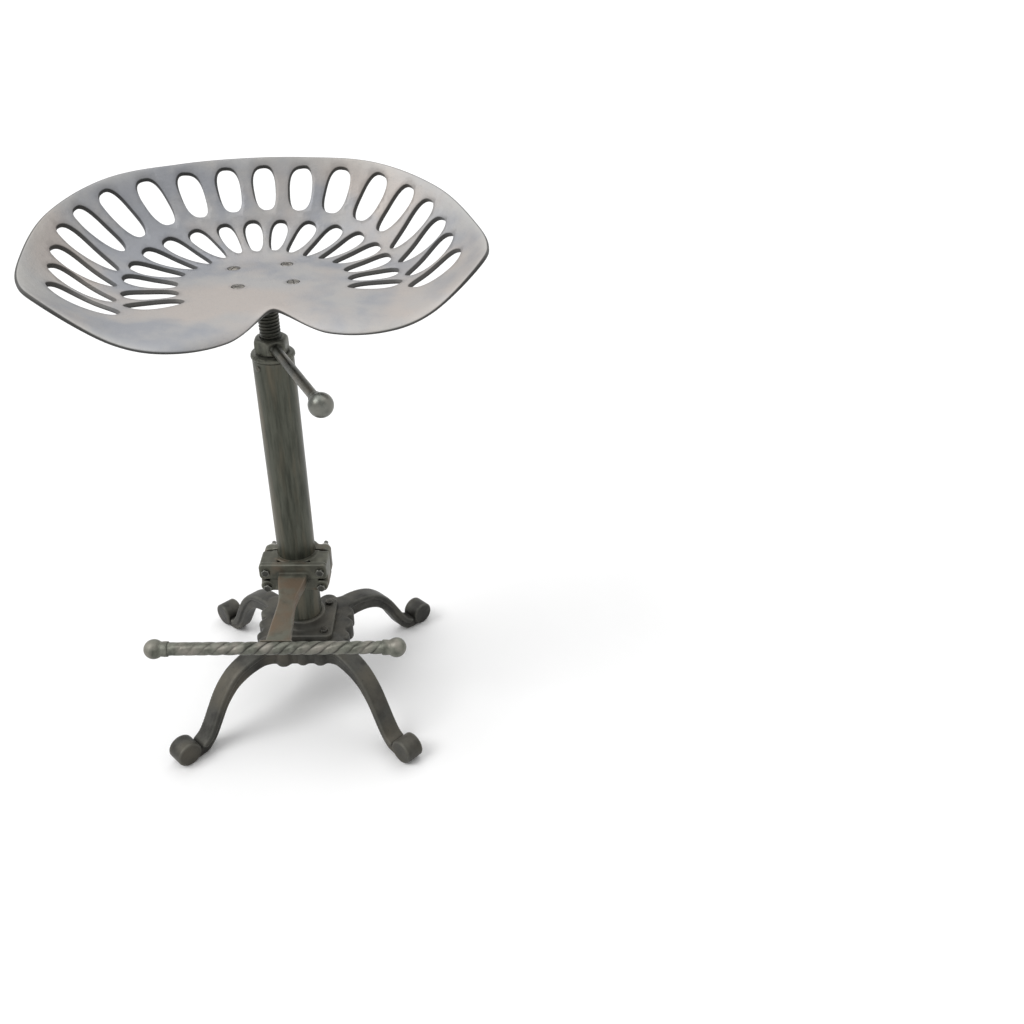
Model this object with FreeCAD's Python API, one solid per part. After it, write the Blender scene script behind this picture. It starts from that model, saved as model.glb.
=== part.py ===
import FreeCAD, Part
import math
import os

from FreeCAD import Vector

# Tractor seat stool, in millimetres. The origin is on the floor under the post, +Z is up,
# and the footrest points along -Y. At rest the seat stands a short way up its screw.

# Base casting: hub plate and four legs
HUB_BOTTOM = 85.0
HUB_THICK = 26.0
HUB_HALF = 57.0
HUB_LOBE_R = 12.5
HUB_LOBE_PITCH = 25.0
HUB_LOBE_OUT = 52.5
LEG_WIDTH = 24.0
LEG_FILLET = 2.0
LEG_ROOT = 34.0
LEG_LEVEL_END = 90.0
TOE_REACH = 203.5
TOE_ROLL_R = 16.5
TOE_WIDTH = 26.0
TOE_CREASE_HEIGHT = 15.5
SOLE_LENGTH = 18.0

# Height of the seat's middle, and the spindle shown between it and the post
SEAT_HEIGHT = 605.5
SPINDLE_SHOWN = 98.0

# Post with its foot flange
FLANGE_HALF = 41.0
FLANGE_THICK = 10.0
FLANGE_CORNER_R = 6.0
FLANGE_BOSS_R = 31.0
FLANGE_BOSS_HEIGHT = 13.0
POST_OD = 48.3
POST_WALL = 3.2
SEAT_FIT = 0.05
POST_STEP = 2.0

# Bolts of the flange
FLANGE_BOLT_D = 6.0
FLANGE_BOLT_PITCH = 60.0
FLANGE_BOLT_TAIL = 4.0

# Threaded bush, its weld ring and rivet
BUSH_LENGTH = 30.0
RING_R = 25.6
RING_HEIGHT = 6.5
RIVET_D = 5.0
RIVET_HEAD_R = 3.6
RIVET_HEAD_HEIGHT = 1.8
RIVET_BELOW_TOP = 7.0
RIVET_DEPTH = 9.0
RIVET_DIRECTION = -128.0

# Screw spindle
SPINDLE_D = 24.0
THREAD_PITCH = 4.0
THREAD_DEPTH = 1.5
THREAD_TURNS = 40
SPINDLE_BELOW_BUSH = 86.0
TAIL_D = 16.0
GUIDE_THICK = 14.0
STOP_NUT_AF = 24.0
STOP_NUT_HEIGHT = 11.0
TAIL_PROUD = 3.0
RUNNING_GAP = 0.08
SIDE_GAP = 0.3

# Locking nut with its lever
NUT_AF = 36.0
NUT_HEIGHT = 18.5
NUT_CHAMFER = 2.2
LEVER_DIRECTION = -63.6
LEVER_REACH = 170.0
LEVER_BELOW_NUT_TOP = 10.7
LEVER_ROD_D = 12.0
LEVER_ROD_INSET = 2.0
LEVER_BALL_D = 27.0
LEVER_SOCKET = 6.0
COLLAR_D = 17.0
COLLAR_LENGTH = 9.0

# Seat plate under the pan
PLATE_HALF = 42.0
PLATE_THICK = 6.0
PLATE_CORNER_R = 8.0
PLATE_BOSS_R = 20.0
PLATE_BOSS_HEIGHT = 14.0
PLATE_WEB = 2.0
PLATE_PAD_R = 14.0
PLATE_PAD_RISE = 0.4

# Seat pan: wall, and the turn it is left at
SEAT_TURN = 15.3
PAN_WALL = 5.0
PAN_FLAT_SHARE = 0.301
PAN_GRID = 14.0
PAN_MARGIN = 30.0
# Rim stations of the right half: direction in degrees, reach from the post axis, height over the middle
PAN_RIM = [
    (-90.0, 103.0, 2.5),
    (-72.0, 154.7, -10.4),
    (-58.0, 194.8, -7.6),
    (-44.0, 218.5, 3.5),
    (-30.0, 247.1, 40.0),
    (-18.0, 247.7, 44.3),
    (-5.0, 234.6, 53.5),
    (12.0, 215.2, 72.1),
    (35.0, 182.7, 88.9),
    (60.0, 145.1, 94.1),
    (90.0, 126.0, 96.7),
]
# How steeply the wall turns up towards the rim: direction in degrees, exponent
PAN_SWEEP = [(-90.0, 4.00), (-60.0, 5.03), (-20.0, 3.89), (20.0, 2.41), (55.0, 1.92), (90.0, 1.83)]

# Slots: the centre's angle from the back and its reach from the row's own centre, the slot's slant
# from the back, its length, its widths at the inner and the outer end, and how far its ends lean
# from square, in degrees.
# Inner row: the one on the centre line, then the eight of the right half
INNER_CENTRE_Y = -23.3
INNER_SLOTS = [
    (0.0, 96.4, 0.0, 27.9, 12.9, 24.5, 0.0),
    (15.4, 100.0, 26.0, 30.8, 11.8, 21.4, -22.3),
    (29.4, 105.8, 49.0, 42.2, 11.2, 21.6, -26.0),
    (42.3, 111.7, 60.2, 52.8, 9.5, 22.8, -20.2),
    (54.2, 117.2, 69.7, 56.8, 10.5, 22.5, -14.8),
    (66.1, 120.2, 77.5, 56.4, 17.0, 23.0, -6.9),
    (79.2, 120.0, 73.1, 56.7, 24.1, 25.8, 6.1),
    (94.6, 119.1, 90.8, 55.2, 26.6, 29.7, 18.6),
    (108.6, 120.6, 103.8, 53.2, 25.2, 33.7, 34.0),
]
# Outer row: the nine of the right half
OUTER_CENTRE_Y = -40.0
OUTER_SLOTS = [
    (7.7, 149.6, 3.6, 26.2, 22.3, 28.5, -8.0),
    (22.5, 159.1, 18.9, 28.4, 23.3, 28.9, -17.3),
    (36.0, 172.8, 39.8, 33.8, 23.8, 27.0, -23.3),
    (48.5, 184.1, 57.9, 41.3, 21.7, 25.7, -17.2),
    (58.9, 189.6, 67.5, 45.9, 16.5, 24.6, -16.7),
    (68.3, 188.0, 66.8, 55.4, 11.3, 28.5, -15.4),
    (77.4, 184.3, 65.9, 60.7, 11.2, 30.7, -10.7),
    (87.2, 181.7, 56.4, 68.1, 15.6, 28.3, -8.1),
    (98.2, 182.4, 53.9, 75.5, 24.6, 27.3, -3.6),
]
# How square the slots' ends are: 2 is an ellipse
INNER_SQUARENESS = 2.5
OUTER_SQUARENESS = 2.7
SLOT_POINTS = 20

# Seat screws
SEAT_SCREW_D = 6.0
SEAT_SCREW_PITCH = 59.0
SEAT_HEAD_D = 12.5
SEAT_HEAD_HEIGHT = 3.4
SEAT_HEAD_PROUD = 0.6
SEAT_SLOT_WIDTH = 1.4
SEAT_SLOT_DEPTH = 1.3
SEAT_SCREW_TAIL = 3.0

# Footrest clamp on the post
CLAMP_LOW = 193.0
CLAMP_HEIGHT = 40.0
CLAMP_HALF_WIDTH = 43.0
CLAMP_FRONT = 38.5
CLAMP_LIP = 7.0
CLAMP_LIP_RISE = 3.0
CLAMP_SPLIT = 4.0
CLAMP_RING = 6.5
CLAMP_EAR = 11.0
REAR_EAR = 12.0
CLAMP_BOLT_D = 6.0
CLAMP_BOLT_HALF = 34.4
CLAMP_BOLT_LOW = 7.5
CLAMP_BOLT_RISE = 24.5
CLAMP_BOLT_TAIL = 9.0
SPOT_FACE_PLAY = 0.6

# Footrest arm and bar
ARM_THICK = 13.0
ARM_ROOT_BELOW_LIP = 13.0
ARM_ROOT_WIDTH = 36.0
ARM_WAIST_WIDTH = 21.0
ARM_END_WIDTH = 28.0
ARM_WAIST_SHARE = 0.36
BAR_FORWARD = 177.0
BAR_HEIGHT = 217.0
BAR_D = 16.0
BAR_BALL_HALF = 140.8
BAR_BALL_D = 23.4
BAR_SPIGOT = 8.0
BAR_COLLAR_D = 18.4
BAR_COLLAR_LENGTH = 5.0

# Bolt and nut proportions, as shares of the thread diameter
HEAD_AF_SHARE = 1.625
HEAD_HEIGHT_SHARE = 0.66
NUT_HEIGHT_SHARE = 0.8
WASHER_D_SHARE = 2.0
WASHER_THICK_SHARE = 0.2
HOLE_PLAY = 0.5

POST_TOP = SEAT_HEIGHT - SPINDLE_SHOWN
HUB_TOP = HUB_BOTTOM + HUB_THICK
FLANGE_TOP = HUB_TOP + FLANGE_THICK
POST_R = POST_OD / 2
POST_BORE_R = POST_R - POST_WALL
RING_TOP = POST_TOP + RING_HEIGHT
NUT_BOTTOM = RING_TOP + SIDE_GAP
NUT_TOP = NUT_BOTTOM + NUT_HEIGHT
BUSH_BOTTOM = POST_TOP - BUSH_LENGTH
SPINDLE_R = SPINDLE_D / 2
SHOULDER = BUSH_BOTTOM - SPINDLE_BELOW_BUSH
PAN_BOTTOM = SEAT_HEIGHT - PAN_WALL
PLATE_BOTTOM = PAN_BOTTOM - PLATE_THICK
BOSS_BOTTOM = PLATE_BOTTOM - PLATE_BOSS_HEIGHT
CLAMP_TOP = CLAMP_LOW + CLAMP_HEIGHT
LEVER_HEIGHT = NUT_TOP - LEVER_BELOW_NUT_TOP

Z = Vector(0, 0, 1)
ORIGIN = Vector(0, 0, 0)


def cylinder(radius, low, high, x=0.0, y=0.0):
    """Upright cylinder between two heights."""
    return Part.makeCylinder(radius, high - low, Vector(x, y, low))


def ring(outer, inner, low, high, x=0.0, y=0.0):
    """Upright tube between two heights."""
    return cylinder(outer, low, high, x, y).cut(cylinder(inner, low - 1, high + 1, x, y))


def block(x0, x1, y0, y1, z0, z1):
    """Box from its low and high sides."""
    return Part.makeBox(x1 - x0, y1 - y0, z1 - z0, Vector(x0, y0, z0))


def turned(shape, degrees):
    """Copy of a shape turned about the post axis."""
    copy = shape.copy()
    copy.rotate(ORIGIN, Z, degrees)
    return copy


def join(shapes):
    """One solid from overlapping shapes."""
    whole = shapes[0].fuse(shapes[1:]) if len(shapes) > 1 else shapes[0]
    return whole.removeSplitter()


def corners(half_x, half_y=None):
    """The four corner points of a centred rectangle."""
    half_y = half_x if half_y is None else half_y
    return [(sx * half_x, sy * half_y) for sx in (-1, 1) for sy in (-1, 1)]


def rounded_square(half, radius, low, high):
    """Square plate with round corners."""
    plate = block(-half, half, -half, half, low, high)
    upright = [e for e in plate.Edges if abs(e.tangentAt(e.FirstParameter).z) > 0.9]
    return plate.makeFillet(radius, upright)


def hexagon(sidewaysflats, low, high, chamfer=0.0):
    """Upright hexagon prism with one flat towards +X, its ends chamfered round if asked."""
    sidewayscorners = sidewaysflats / math.cos(math.radians(30))
    points = []
    for k in range(7):
        angle = math.radians(30 + 60 * k)
        points.append(Vector(sidewayscorners / 2 * math.cos(angle), sidewayscorners / 2 * math.sin(angle), low))
    prism = Part.Face(Part.makePolygon(points)).extrude(Vector(0, 0, high - low))
    if not chamfer:
        return prism
    edge = sidewayscorners / 2
    face = edge - chamfer * math.sqrt(3)
    outline = [(0, low), (face, low), (edge, low + chamfer), (edge, high - chamfer), (face, high), (0, high)]
    wire = Part.makePolygon([Vector(r, 0, z) for r, z in outline + outline[:1]])
    return prism.common(Part.Face(wire).revolve(ORIGIN, Z, 360))


def hex_bolt(diameter, grip, tail):
    """Hexagon bolt along +Z: the head stands on z = 0, the shank goes down through the grip."""
    head = hexagon(HEAD_AF_SHARE * diameter, 0.0, HEAD_HEIGHT_SHARE * diameter, 0.12 * diameter / 2)
    return join([head, cylinder(diameter / 2, -grip - tail, 0.5)])


def hex_nut(diameter):
    """Hexagon nut hanging under z = 0."""
    low = -NUT_HEIGHT_SHARE * diameter
    body = hexagon(HEAD_AF_SHARE * diameter, low, 0.0, 0.12 * diameter / 2)
    return body.cut(cylinder(diameter / 2 + SEAT_FIT, low - 1, 1))


def washer(diameter):
    """Flat washer hanging under z = 0."""
    return ring(WASHER_D_SHARE * diameter / 2, diameter / 2 + SEAT_FIT, -WASHER_THICK_SHARE * diameter, 0.0)


def placed(shape, x, y, z):
    """Copy of a shape moved to a point."""
    copy = shape.copy()
    copy.translate(Vector(x, y, z))
    return copy


def across(shape):
    """Copy of an upright shape laid so that its +Z points along -Y."""
    copy = shape.copy()
    copy.rotate(ORIGIN, Vector(1, 0, 0), 90)
    return copy


def curve(points, start=None, end=None):
    """Smooth edge through points, with end directions if given."""
    spline = Part.BSplineCurve()
    if start is None:
        spline.interpolate(points)
    else:
        spline.interpolate(Points=points, InitialTangent=start, FinalTangent=end)
    return spline.toShape()


def leg():
    """One leg with its rolled toe, along +X, as the side outline given the leg's width."""
    def at(r, z):
        return Vector(r, -LEG_WIDTH / 2, z)

    toe_centre = at(TOE_REACH, TOE_ROLL_R)
    crease_angle = math.asin((TOE_CREASE_HEIGHT - TOE_ROLL_R) / TOE_ROLL_R)
    crease = at(TOE_REACH - TOE_ROLL_R * math.cos(crease_angle), TOE_CREASE_HEIGHT)
    sole_back = at(TOE_REACH - SOLE_LENGTH, 0)
    drop = HUB_TOP - TOE_CREASE_HEIGHT
    run = crease.x - LEG_LEVEL_END
    rise = HUB_BOTTOM
    back = sole_back.x - LEG_LEVEL_END
    top = curve(
        [
            at(LEG_LEVEL_END, HUB_TOP),
            at(LEG_LEVEL_END + 0.34 * run, HUB_TOP - 0.13 * drop),
            at(LEG_LEVEL_END + 0.61 * run, HUB_TOP - 0.43 * drop),
            at(LEG_LEVEL_END + 0.80 * run, HUB_TOP - 0.77 * drop),
            crease,
        ],
        Vector(1, 0, -0.02),
        Vector(1, 0, -0.9),
    )
    bottom = curve(
        [
            sole_back,
            at(sole_back.x - 0.16 * back, 0.07 * rise),
            at(sole_back.x - 0.31 * back, 0.27 * rise),
            at(sole_back.x - 0.49 * back, 0.62 * rise),
            at(sole_back.x - 0.72 * back, 0.90 * rise),
            at(LEG_LEVEL_END, HUB_BOTTOM),
        ],
        Vector(-1, 0, 0.02),
        Vector(-1, 0, 0.02),
    )
    over = toe_centre + Vector(TOE_ROLL_R, 0, 0)
    under = at(TOE_REACH, 0)
    roll = Part.Arc(crease, over, under).toShape()
    wire = Part.Wire(
        [
            Part.makeLine(at(LEG_ROOT, HUB_TOP), at(LEG_LEVEL_END, HUB_TOP)),
            top,
            roll,
            Part.makeLine(under, sole_back),
            bottom,
            Part.makeLine(at(LEG_LEVEL_END, HUB_BOTTOM), at(LEG_ROOT, HUB_BOTTOM)),
            Part.makeLine(at(LEG_ROOT, HUB_BOTTOM), at(LEG_ROOT, HUB_TOP)),
        ]
    )
    bar = Part.Face(wire).extrude(Vector(0, LEG_WIDTH, 0))
    toe = Part.makeCylinder(
        TOE_ROLL_R, TOE_WIDTH, Vector(TOE_REACH, -TOE_WIDTH / 2, TOE_ROLL_R), Vector(0, 1, 0)
    )
    return bar.fuse(toe)


def base_casting():
    """Hub plate with scalloped sides and four legs, in one casting."""
    parts = [block(-HUB_HALF, HUB_HALF, -HUB_HALF, HUB_HALF, HUB_BOTTOM, HUB_TOP)]
    for side in range(4):
        for k in (-1, 0, 1):
            lobe = cylinder(HUB_LOBE_R, HUB_BOTTOM, HUB_TOP, HUB_LOBE_OUT, k * HUB_LOBE_PITCH)
            parts.append(turned(lobe, 90 * side))
        parts.append(turned(leg(), 45 + 90 * side))
    casting = join(parts)
    for x, y in corners(FLANGE_BOLT_PITCH / 2):
        casting = casting.cut(cylinder(FLANGE_BOLT_D / 2 + HOLE_PLAY, HUB_BOTTOM - 1, HUB_TOP + 1, x, y))
    return casting


def post_flange():
    """Square foot plate with a round boss that holds the post."""
    plate = rounded_square(FLANGE_HALF, FLANGE_CORNER_R, HUB_TOP, FLANGE_TOP)
    boss_top = FLANGE_TOP + FLANGE_BOSS_HEIGHT
    boss = Part.makeCone(FLANGE_BOSS_R, POST_R + 3.0, FLANGE_BOSS_HEIGHT, Vector(0, 0, FLANGE_TOP))
    flange = plate.fuse(boss).cut(cylinder(POST_R + SEAT_FIT, HUB_TOP + POST_STEP, boss_top + 1))
    for x, y in corners(FLANGE_BOLT_PITCH / 2):
        flange = flange.cut(cylinder(FLANGE_BOLT_D / 2 + HOLE_PLAY, HUB_TOP - 1, FLANGE_TOP + 1, x, y))
    return flange


def flange_bolts():
    """Four bolts down through the flange and the hub."""
    bolt = hex_bolt(FLANGE_BOLT_D, FLANGE_TOP - HUB_BOTTOM, NUT_HEIGHT_SHARE * FLANGE_BOLT_D + FLANGE_BOLT_TAIL)
    return [placed(bolt, x, y, FLANGE_TOP) for x, y in corners(FLANGE_BOLT_PITCH / 2)]


def flange_nuts():
    """Four nuts under the hub."""
    return [placed(hex_nut(FLANGE_BOLT_D), x, y, HUB_BOTTOM) for x, y in corners(FLANGE_BOLT_PITCH / 2)]


def rivet_way(radius, inner, outer):
    """Cylinder along the rivet's direction between two distances from the post axis."""
    height = POST_TOP - RIVET_BELOW_TOP
    pin = Part.makeCylinder(radius, outer - inner, Vector(inner, 0, height), Vector(1, 0, 0))
    return turned(pin, RIVET_DIRECTION)


def post_tube():
    """Round tube of the post."""
    tube = ring(POST_R, POST_BORE_R, HUB_TOP + POST_STEP, POST_TOP)
    return tube.cut(rivet_way(RIVET_D / 2 + SEAT_FIT, POST_BORE_R - 2, POST_R + 2))


def thread_bush():
    """Bush in the post's top that the spindle runs in, with the weld ring on top of the tube."""
    plug = cylinder(POST_BORE_R - SEAT_FIT, BUSH_BOTTOM, POST_TOP)
    bead = cylinder(RING_R, POST_TOP, RING_TOP)
    bead = bead.makeFillet(RING_HEIGHT * 0.35, [e for e in bead.Edges if len(e.Vertexes) == 1])
    bush = plug.fuse(bead).cut(cylinder(SPINDLE_R + RUNNING_GAP, BUSH_BOTTOM - 1, RING_TOP + 1))
    return bush.cut(rivet_way(RIVET_D / 2 + SEAT_FIT, POST_R - RIVET_DEPTH, POST_R))


def bush_rivet():
    """Dome-headed pin that keeps the bush from turning in the post."""
    shank = rivet_way(RIVET_D / 2, POST_R - RIVET_DEPTH + 1.0, POST_R)
    height = POST_TOP - RIVET_BELOW_TOP
    sphere_r = (RIVET_HEAD_R**2 + RIVET_HEAD_HEIGHT**2) / (2 * RIVET_HEAD_HEIGHT)
    # The head's seat stands off the round post far enough to clear it at the head's own edge
    seat = POST_R + 0.02
    ball = Part.makeSphere(sphere_r, Vector(seat + RIVET_HEAD_HEIGHT - sphere_r, 0, height))
    head = turned(ball.common(block(seat, seat + 10, -9, 9, height - 9, height + 9)), RIVET_DIRECTION)
    neck = rivet_way(RIVET_D / 2, POST_R - 1, seat + 0.2)
    return join([shank, neck, head])


def spindle():
    """Threaded spindle: ring grooves at the thread's pitch, and a plain tail below a shoulder."""
    top = PLATE_BOTTOM - PLATE_WEB
    tail_low = SHOULDER - GUIDE_THICK - 2 * SIDE_GAP - STOP_NUT_HEIGHT - TAIL_PROUD
    root = SPINDLE_R - THREAD_DEPTH
    outline = [(0, top), (SPINDLE_R, top)]
    first = BOSS_BOTTOM - 2.0
    for k in range(THREAD_TURNS):
        z = first - k * THREAD_PITCH
        outline += [
            (SPINDLE_R, z),
            (root, z - 0.3 * THREAD_PITCH),
            (root, z - 0.45 * THREAD_PITCH),
            (SPINDLE_R, z - 0.75 * THREAD_PITCH),
        ]
    outline += [(SPINDLE_R, SHOULDER), (TAIL_D / 2, SHOULDER), (TAIL_D / 2, tail_low), (0, tail_low)]
    wire = Part.makePolygon([Vector(r, 0, z) for r, z in outline + outline[:1]])
    return Part.Face(wire).revolve(ORIGIN, Z, 360)


def spindle_guide():
    """Disc that slides in the post and keeps the spindle's lower end in the middle."""
    high = SHOULDER - SIDE_GAP
    return ring(POST_BORE_R - RUNNING_GAP, TAIL_D / 2 + RUNNING_GAP, high - GUIDE_THICK, high)


def spindle_stop():
    """Nut on the spindle's tail that holds the guide."""
    high = SHOULDER - GUIDE_THICK - 2 * SIDE_GAP
    nut = hexagon(STOP_NUT_AF, high - STOP_NUT_HEIGHT, high, 1.0)
    return nut.cut(cylinder(TAIL_D / 2 + SEAT_FIT, high - STOP_NUT_HEIGHT - 1, high + 1))


def lever_nut():
    """Tall hexagon locking nut that turns on the spindle above the post, with a hole for the lever."""
    nut = hexagon(NUT_AF, NUT_BOTTOM, NUT_TOP, NUT_CHAMFER)
    nut = nut.cut(cylinder(SPINDLE_R + RUNNING_GAP, NUT_BOTTOM - 1, NUT_TOP + 1))
    nut = nut.cut(lever_way(LEVER_ROD_D / 2 + SEAT_FIT, NUT_AF / 2 - LEVER_ROD_INSET, NUT_AF / 2 + 5, 0.0))
    return turned(nut, LEVER_DIRECTION)


def lever_way(radius, inner, outer, direction=LEVER_DIRECTION):
    """Cylinder along the lever between two distances from the post axis."""
    rod = Part.makeCylinder(radius, outer - inner, Vector(inner, 0, LEVER_HEIGHT), Vector(1, 0, 0))
    return turned(rod, direction)


def lever_rod():
    """Round rod of the lever."""
    return lever_way(LEVER_ROD_D / 2, NUT_AF / 2 - LEVER_ROD_INSET + SEAT_FIT, LEVER_REACH - LEVER_SOCKET)


def lever_collar():
    """Ferrule on the rod behind the ball."""
    face = LEVER_REACH - math.sqrt((LEVER_BALL_D / 2) ** 2 - (COLLAR_D / 2) ** 2)
    sleeve = lever_way(COLLAR_D / 2, face - COLLAR_LENGTH, face, 0.0)
    sleeve = sleeve.cut(lever_way(LEVER_ROD_D / 2 + SEAT_FIT, face - COLLAR_LENGTH - 1, face + 1, 0.0))
    return turned(sleeve, LEVER_DIRECTION)


def lever_ball():
    """Ball grip on the lever's end."""
    ball = Part.makeSphere(LEVER_BALL_D / 2, Vector(LEVER_REACH, 0, LEVER_HEIGHT))
    face = LEVER_REACH - math.sqrt((LEVER_BALL_D / 2) ** 2 - (COLLAR_D / 2) ** 2)
    ball = ball.cut(lever_way(COLLAR_D / 2 + 5, face - COLLAR_LENGTH, face, 0.0))
    ball = ball.cut(lever_way(LEVER_ROD_D / 2 + SEAT_FIT, 0, LEVER_REACH - LEVER_SOCKET, 0.0))
    return turned(ball, LEVER_DIRECTION)


def seat_plate():
    """Plate under the pan with the boss that takes the spindle's head."""
    plate = rounded_square(PLATE_HALF, PLATE_CORNER_R, PLATE_BOTTOM, PAN_BOTTOM - PLATE_PAD_RISE)
    plate = plate.fuse([cylinder(PLATE_BOSS_R, BOSS_BOTTOM, PLATE_BOTTOM), cylinder(PLATE_PAD_R, PLATE_BOTTOM, PAN_BOTTOM)])
    plate = plate.cut(cylinder(SPINDLE_R + SEAT_FIT, BOSS_BOTTOM - 1, PLATE_BOTTOM - PLATE_WEB))
    for x, y in corners(SEAT_SCREW_PITCH / 2):
        plate = plate.cut(cylinder(SEAT_SCREW_D / 2 + HOLE_PLAY, PLATE_BOTTOM - 1, PAN_BOTTOM + 1, x, y))
    return turned(plate, SEAT_TURN)


def eased(stations, degrees, column):
    """Smooth value between stations, level at both ends of the half turn that they cover."""
    angles = [s[0] for s in stations]
    values = [s[column] for s in stations]
    last = len(stations) - 1
    slopes = [0.0] * len(stations)
    for k in range(1, last):
        slopes[k] = (values[k + 1] - values[k - 1]) / (angles[k + 1] - angles[k - 1])
    k = 0
    while k < last - 1 and degrees > angles[k + 1]:
        k += 1
    width = angles[k + 1] - angles[k]
    t = min(max((degrees - angles[k]) / width, 0.0), 1.0)
    a = (1 + 2 * t) * (1 - t) ** 2 * values[k] + t * (1 - t) ** 2 * width * slopes[k]
    b = t * t * (3 - 2 * t) * values[k + 1] + t * t * (t - 1) * width * slopes[k + 1]
    return a + b


def pan_height(x, y):
    """Height of the pan's top face over its middle: flat, then rising as a power of the reach."""
    degrees = math.degrees(math.atan2(y, abs(x) + 1e-9))
    share = math.hypot(x, y) / eased(PAN_RIM, degrees, 1)
    rise = eased(PAN_RIM, degrees, 2)
    power = eased(PAN_SWEEP, degrees, 1)
    q = (share - PAN_FLAT_SHARE) / (1 - PAN_FLAT_SHARE)
    if q <= 0:
        return 0.0
    return rise * q**power if q <= 1 else rise * (1 + power * (q - 1))


def pan_lower_height(x, y):
    """Height of the pan's under side, so that the wall is even measured square to it."""
    step = 1.0
    slope_x = (pan_height(x + step, y) - pan_height(x - step, y)) / (2 * step)
    slope_y = (pan_height(x, y + step) - pan_height(x, y - step)) / (2 * step)
    return pan_height(x, y) - PAN_WALL * min(math.sqrt(1 + slope_x**2 + slope_y**2), 2.2)


def pan_sheet(height, margin, depth):
    """Solid under a height function over the pan's field, grown by a margin."""
    half = max(r[1] for r in PAN_RIM) + margin
    count = 2 * int(half / PAN_GRID) + 1
    grid = []
    for i in range(count):
        x = -half + 2 * half * i / (count - 1)
        row = []
        for j in range(count):
            y = -half + 2 * half * j / (count - 1)
            row.append(Vector(x, y, SEAT_HEIGHT + height(x, y)))
        grid.append(row)
    surface = Part.BSplineSurface()
    surface.interpolate(grid)
    return surface.toShape().extrude(Vector(0, 0, -depth))


def rim_points(per_half=32):
    """Points of the rim in plan, all the way round."""
    right = []
    for k in range(per_half + 1):
        degrees = -90.0 + 180.0 * k / per_half
        reach = eased(PAN_RIM, degrees, 1)
        right.append((reach * math.cos(math.radians(degrees)), reach * math.sin(math.radians(degrees))))
    left = [(-x, y) for x, y in reversed(right[1:-1])]
    return right + left


def slot_cutter(x, y, slant, length, narrow, wide, lean, squareness):
    """Upright prism of one slot: a blunt oval with its wide end outwards and its ends leaning."""
    low, high = SEAT_HEIGHT - 120.0, SEAT_HEIGHT + 160.0
    points = []
    for k in range(SLOT_POINTS):
        angle = 2 * math.pi * (k + 0.5) / SLOT_POINTS
        along = math.copysign(abs(math.cos(angle)) ** (2 / squareness), math.cos(angle))
        sideways = math.copysign(abs(math.sin(angle)) ** (2 / squareness), math.sin(angle))
        half_width = (narrow + (wide - narrow) * (along + 1) / 2) / 2
        across = Vector(math.sin(math.radians(lean)), math.cos(math.radians(lean)), 0) * sideways * half_width
        points.append(Vector(along * length / 2, 0, low) + across)
    outline = Part.BSplineCurve()
    outline.interpolate(points, PeriodicFlag=True)
    prism = Part.Face(Part.Wire([outline.toShape()])).extrude(Vector(0, 0, high - low))
    prism.rotate(ORIGIN, Z, 90.0 - slant)
    prism.translate(Vector(x, y, 0))
    return prism


def slot_row(slots, centre_y, squareness):
    """Cutters of one row of slots, both halves."""
    cutters = []
    for angle, reach, slant, length, narrow, wide, lean in slots:
        x = reach * math.sin(math.radians(angle))
        y = centre_y + reach * math.cos(math.radians(angle))
        for side in (1, -1) if angle else (1,):
            cutters.append(slot_cutter(side * x, y, side * slant, length, narrow, wide, side * lean, squareness))
    return cutters


def seat_pan():
    """Pressed bowl of the seat with its two rows of slots and four screw holes."""
    low, high = SEAT_HEIGHT - 100.0, SEAT_HEIGHT + 140.0
    shell = pan_sheet(pan_height, PAN_MARGIN, 200.0).cut(pan_sheet(pan_lower_height, PAN_MARGIN + 15.0, 300.0))
    outline = Part.BSplineCurve()
    outline.interpolate([Vector(x, y, low) for x, y in rim_points()], PeriodicFlag=True)
    prism = Part.Face(Part.Wire([outline.toShape()])).extrude(Vector(0, 0, high - low))
    pan = shell.common(prism)
    cutters = slot_row(INNER_SLOTS, INNER_CENTRE_Y, INNER_SQUARENESS)
    cutters += slot_row(OUTER_SLOTS, OUTER_CENTRE_Y, OUTER_SQUARENESS)
    for x, y in corners(SEAT_SCREW_PITCH / 2):
        cutters.append(cylinder(SEAT_SCREW_D / 2 + HOLE_PLAY, PAN_BOTTOM - 5, SEAT_HEIGHT + 5, x, y))
        cutters.append(screw_head(x, y, SEAT_FIT))
    pan = pan.cut(cutters)
    return turned(pan.Solids[0], SEAT_TURN)


def screw_head(x, y, play=0.0):
    """Countersunk head of a seat screw, grown by a play."""
    top = SEAT_HEIGHT + SEAT_HEAD_PROUD
    return Part.makeCone(
        SEAT_SCREW_D / 2 + play, SEAT_HEAD_D / 2 + play, SEAT_HEAD_HEIGHT, Vector(x, y, top - SEAT_HEAD_HEIGHT)
    ).fuse(cylinder(SEAT_HEAD_D / 2 + play, top, top + (4.0 if play else 0.01), x, y))


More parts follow.
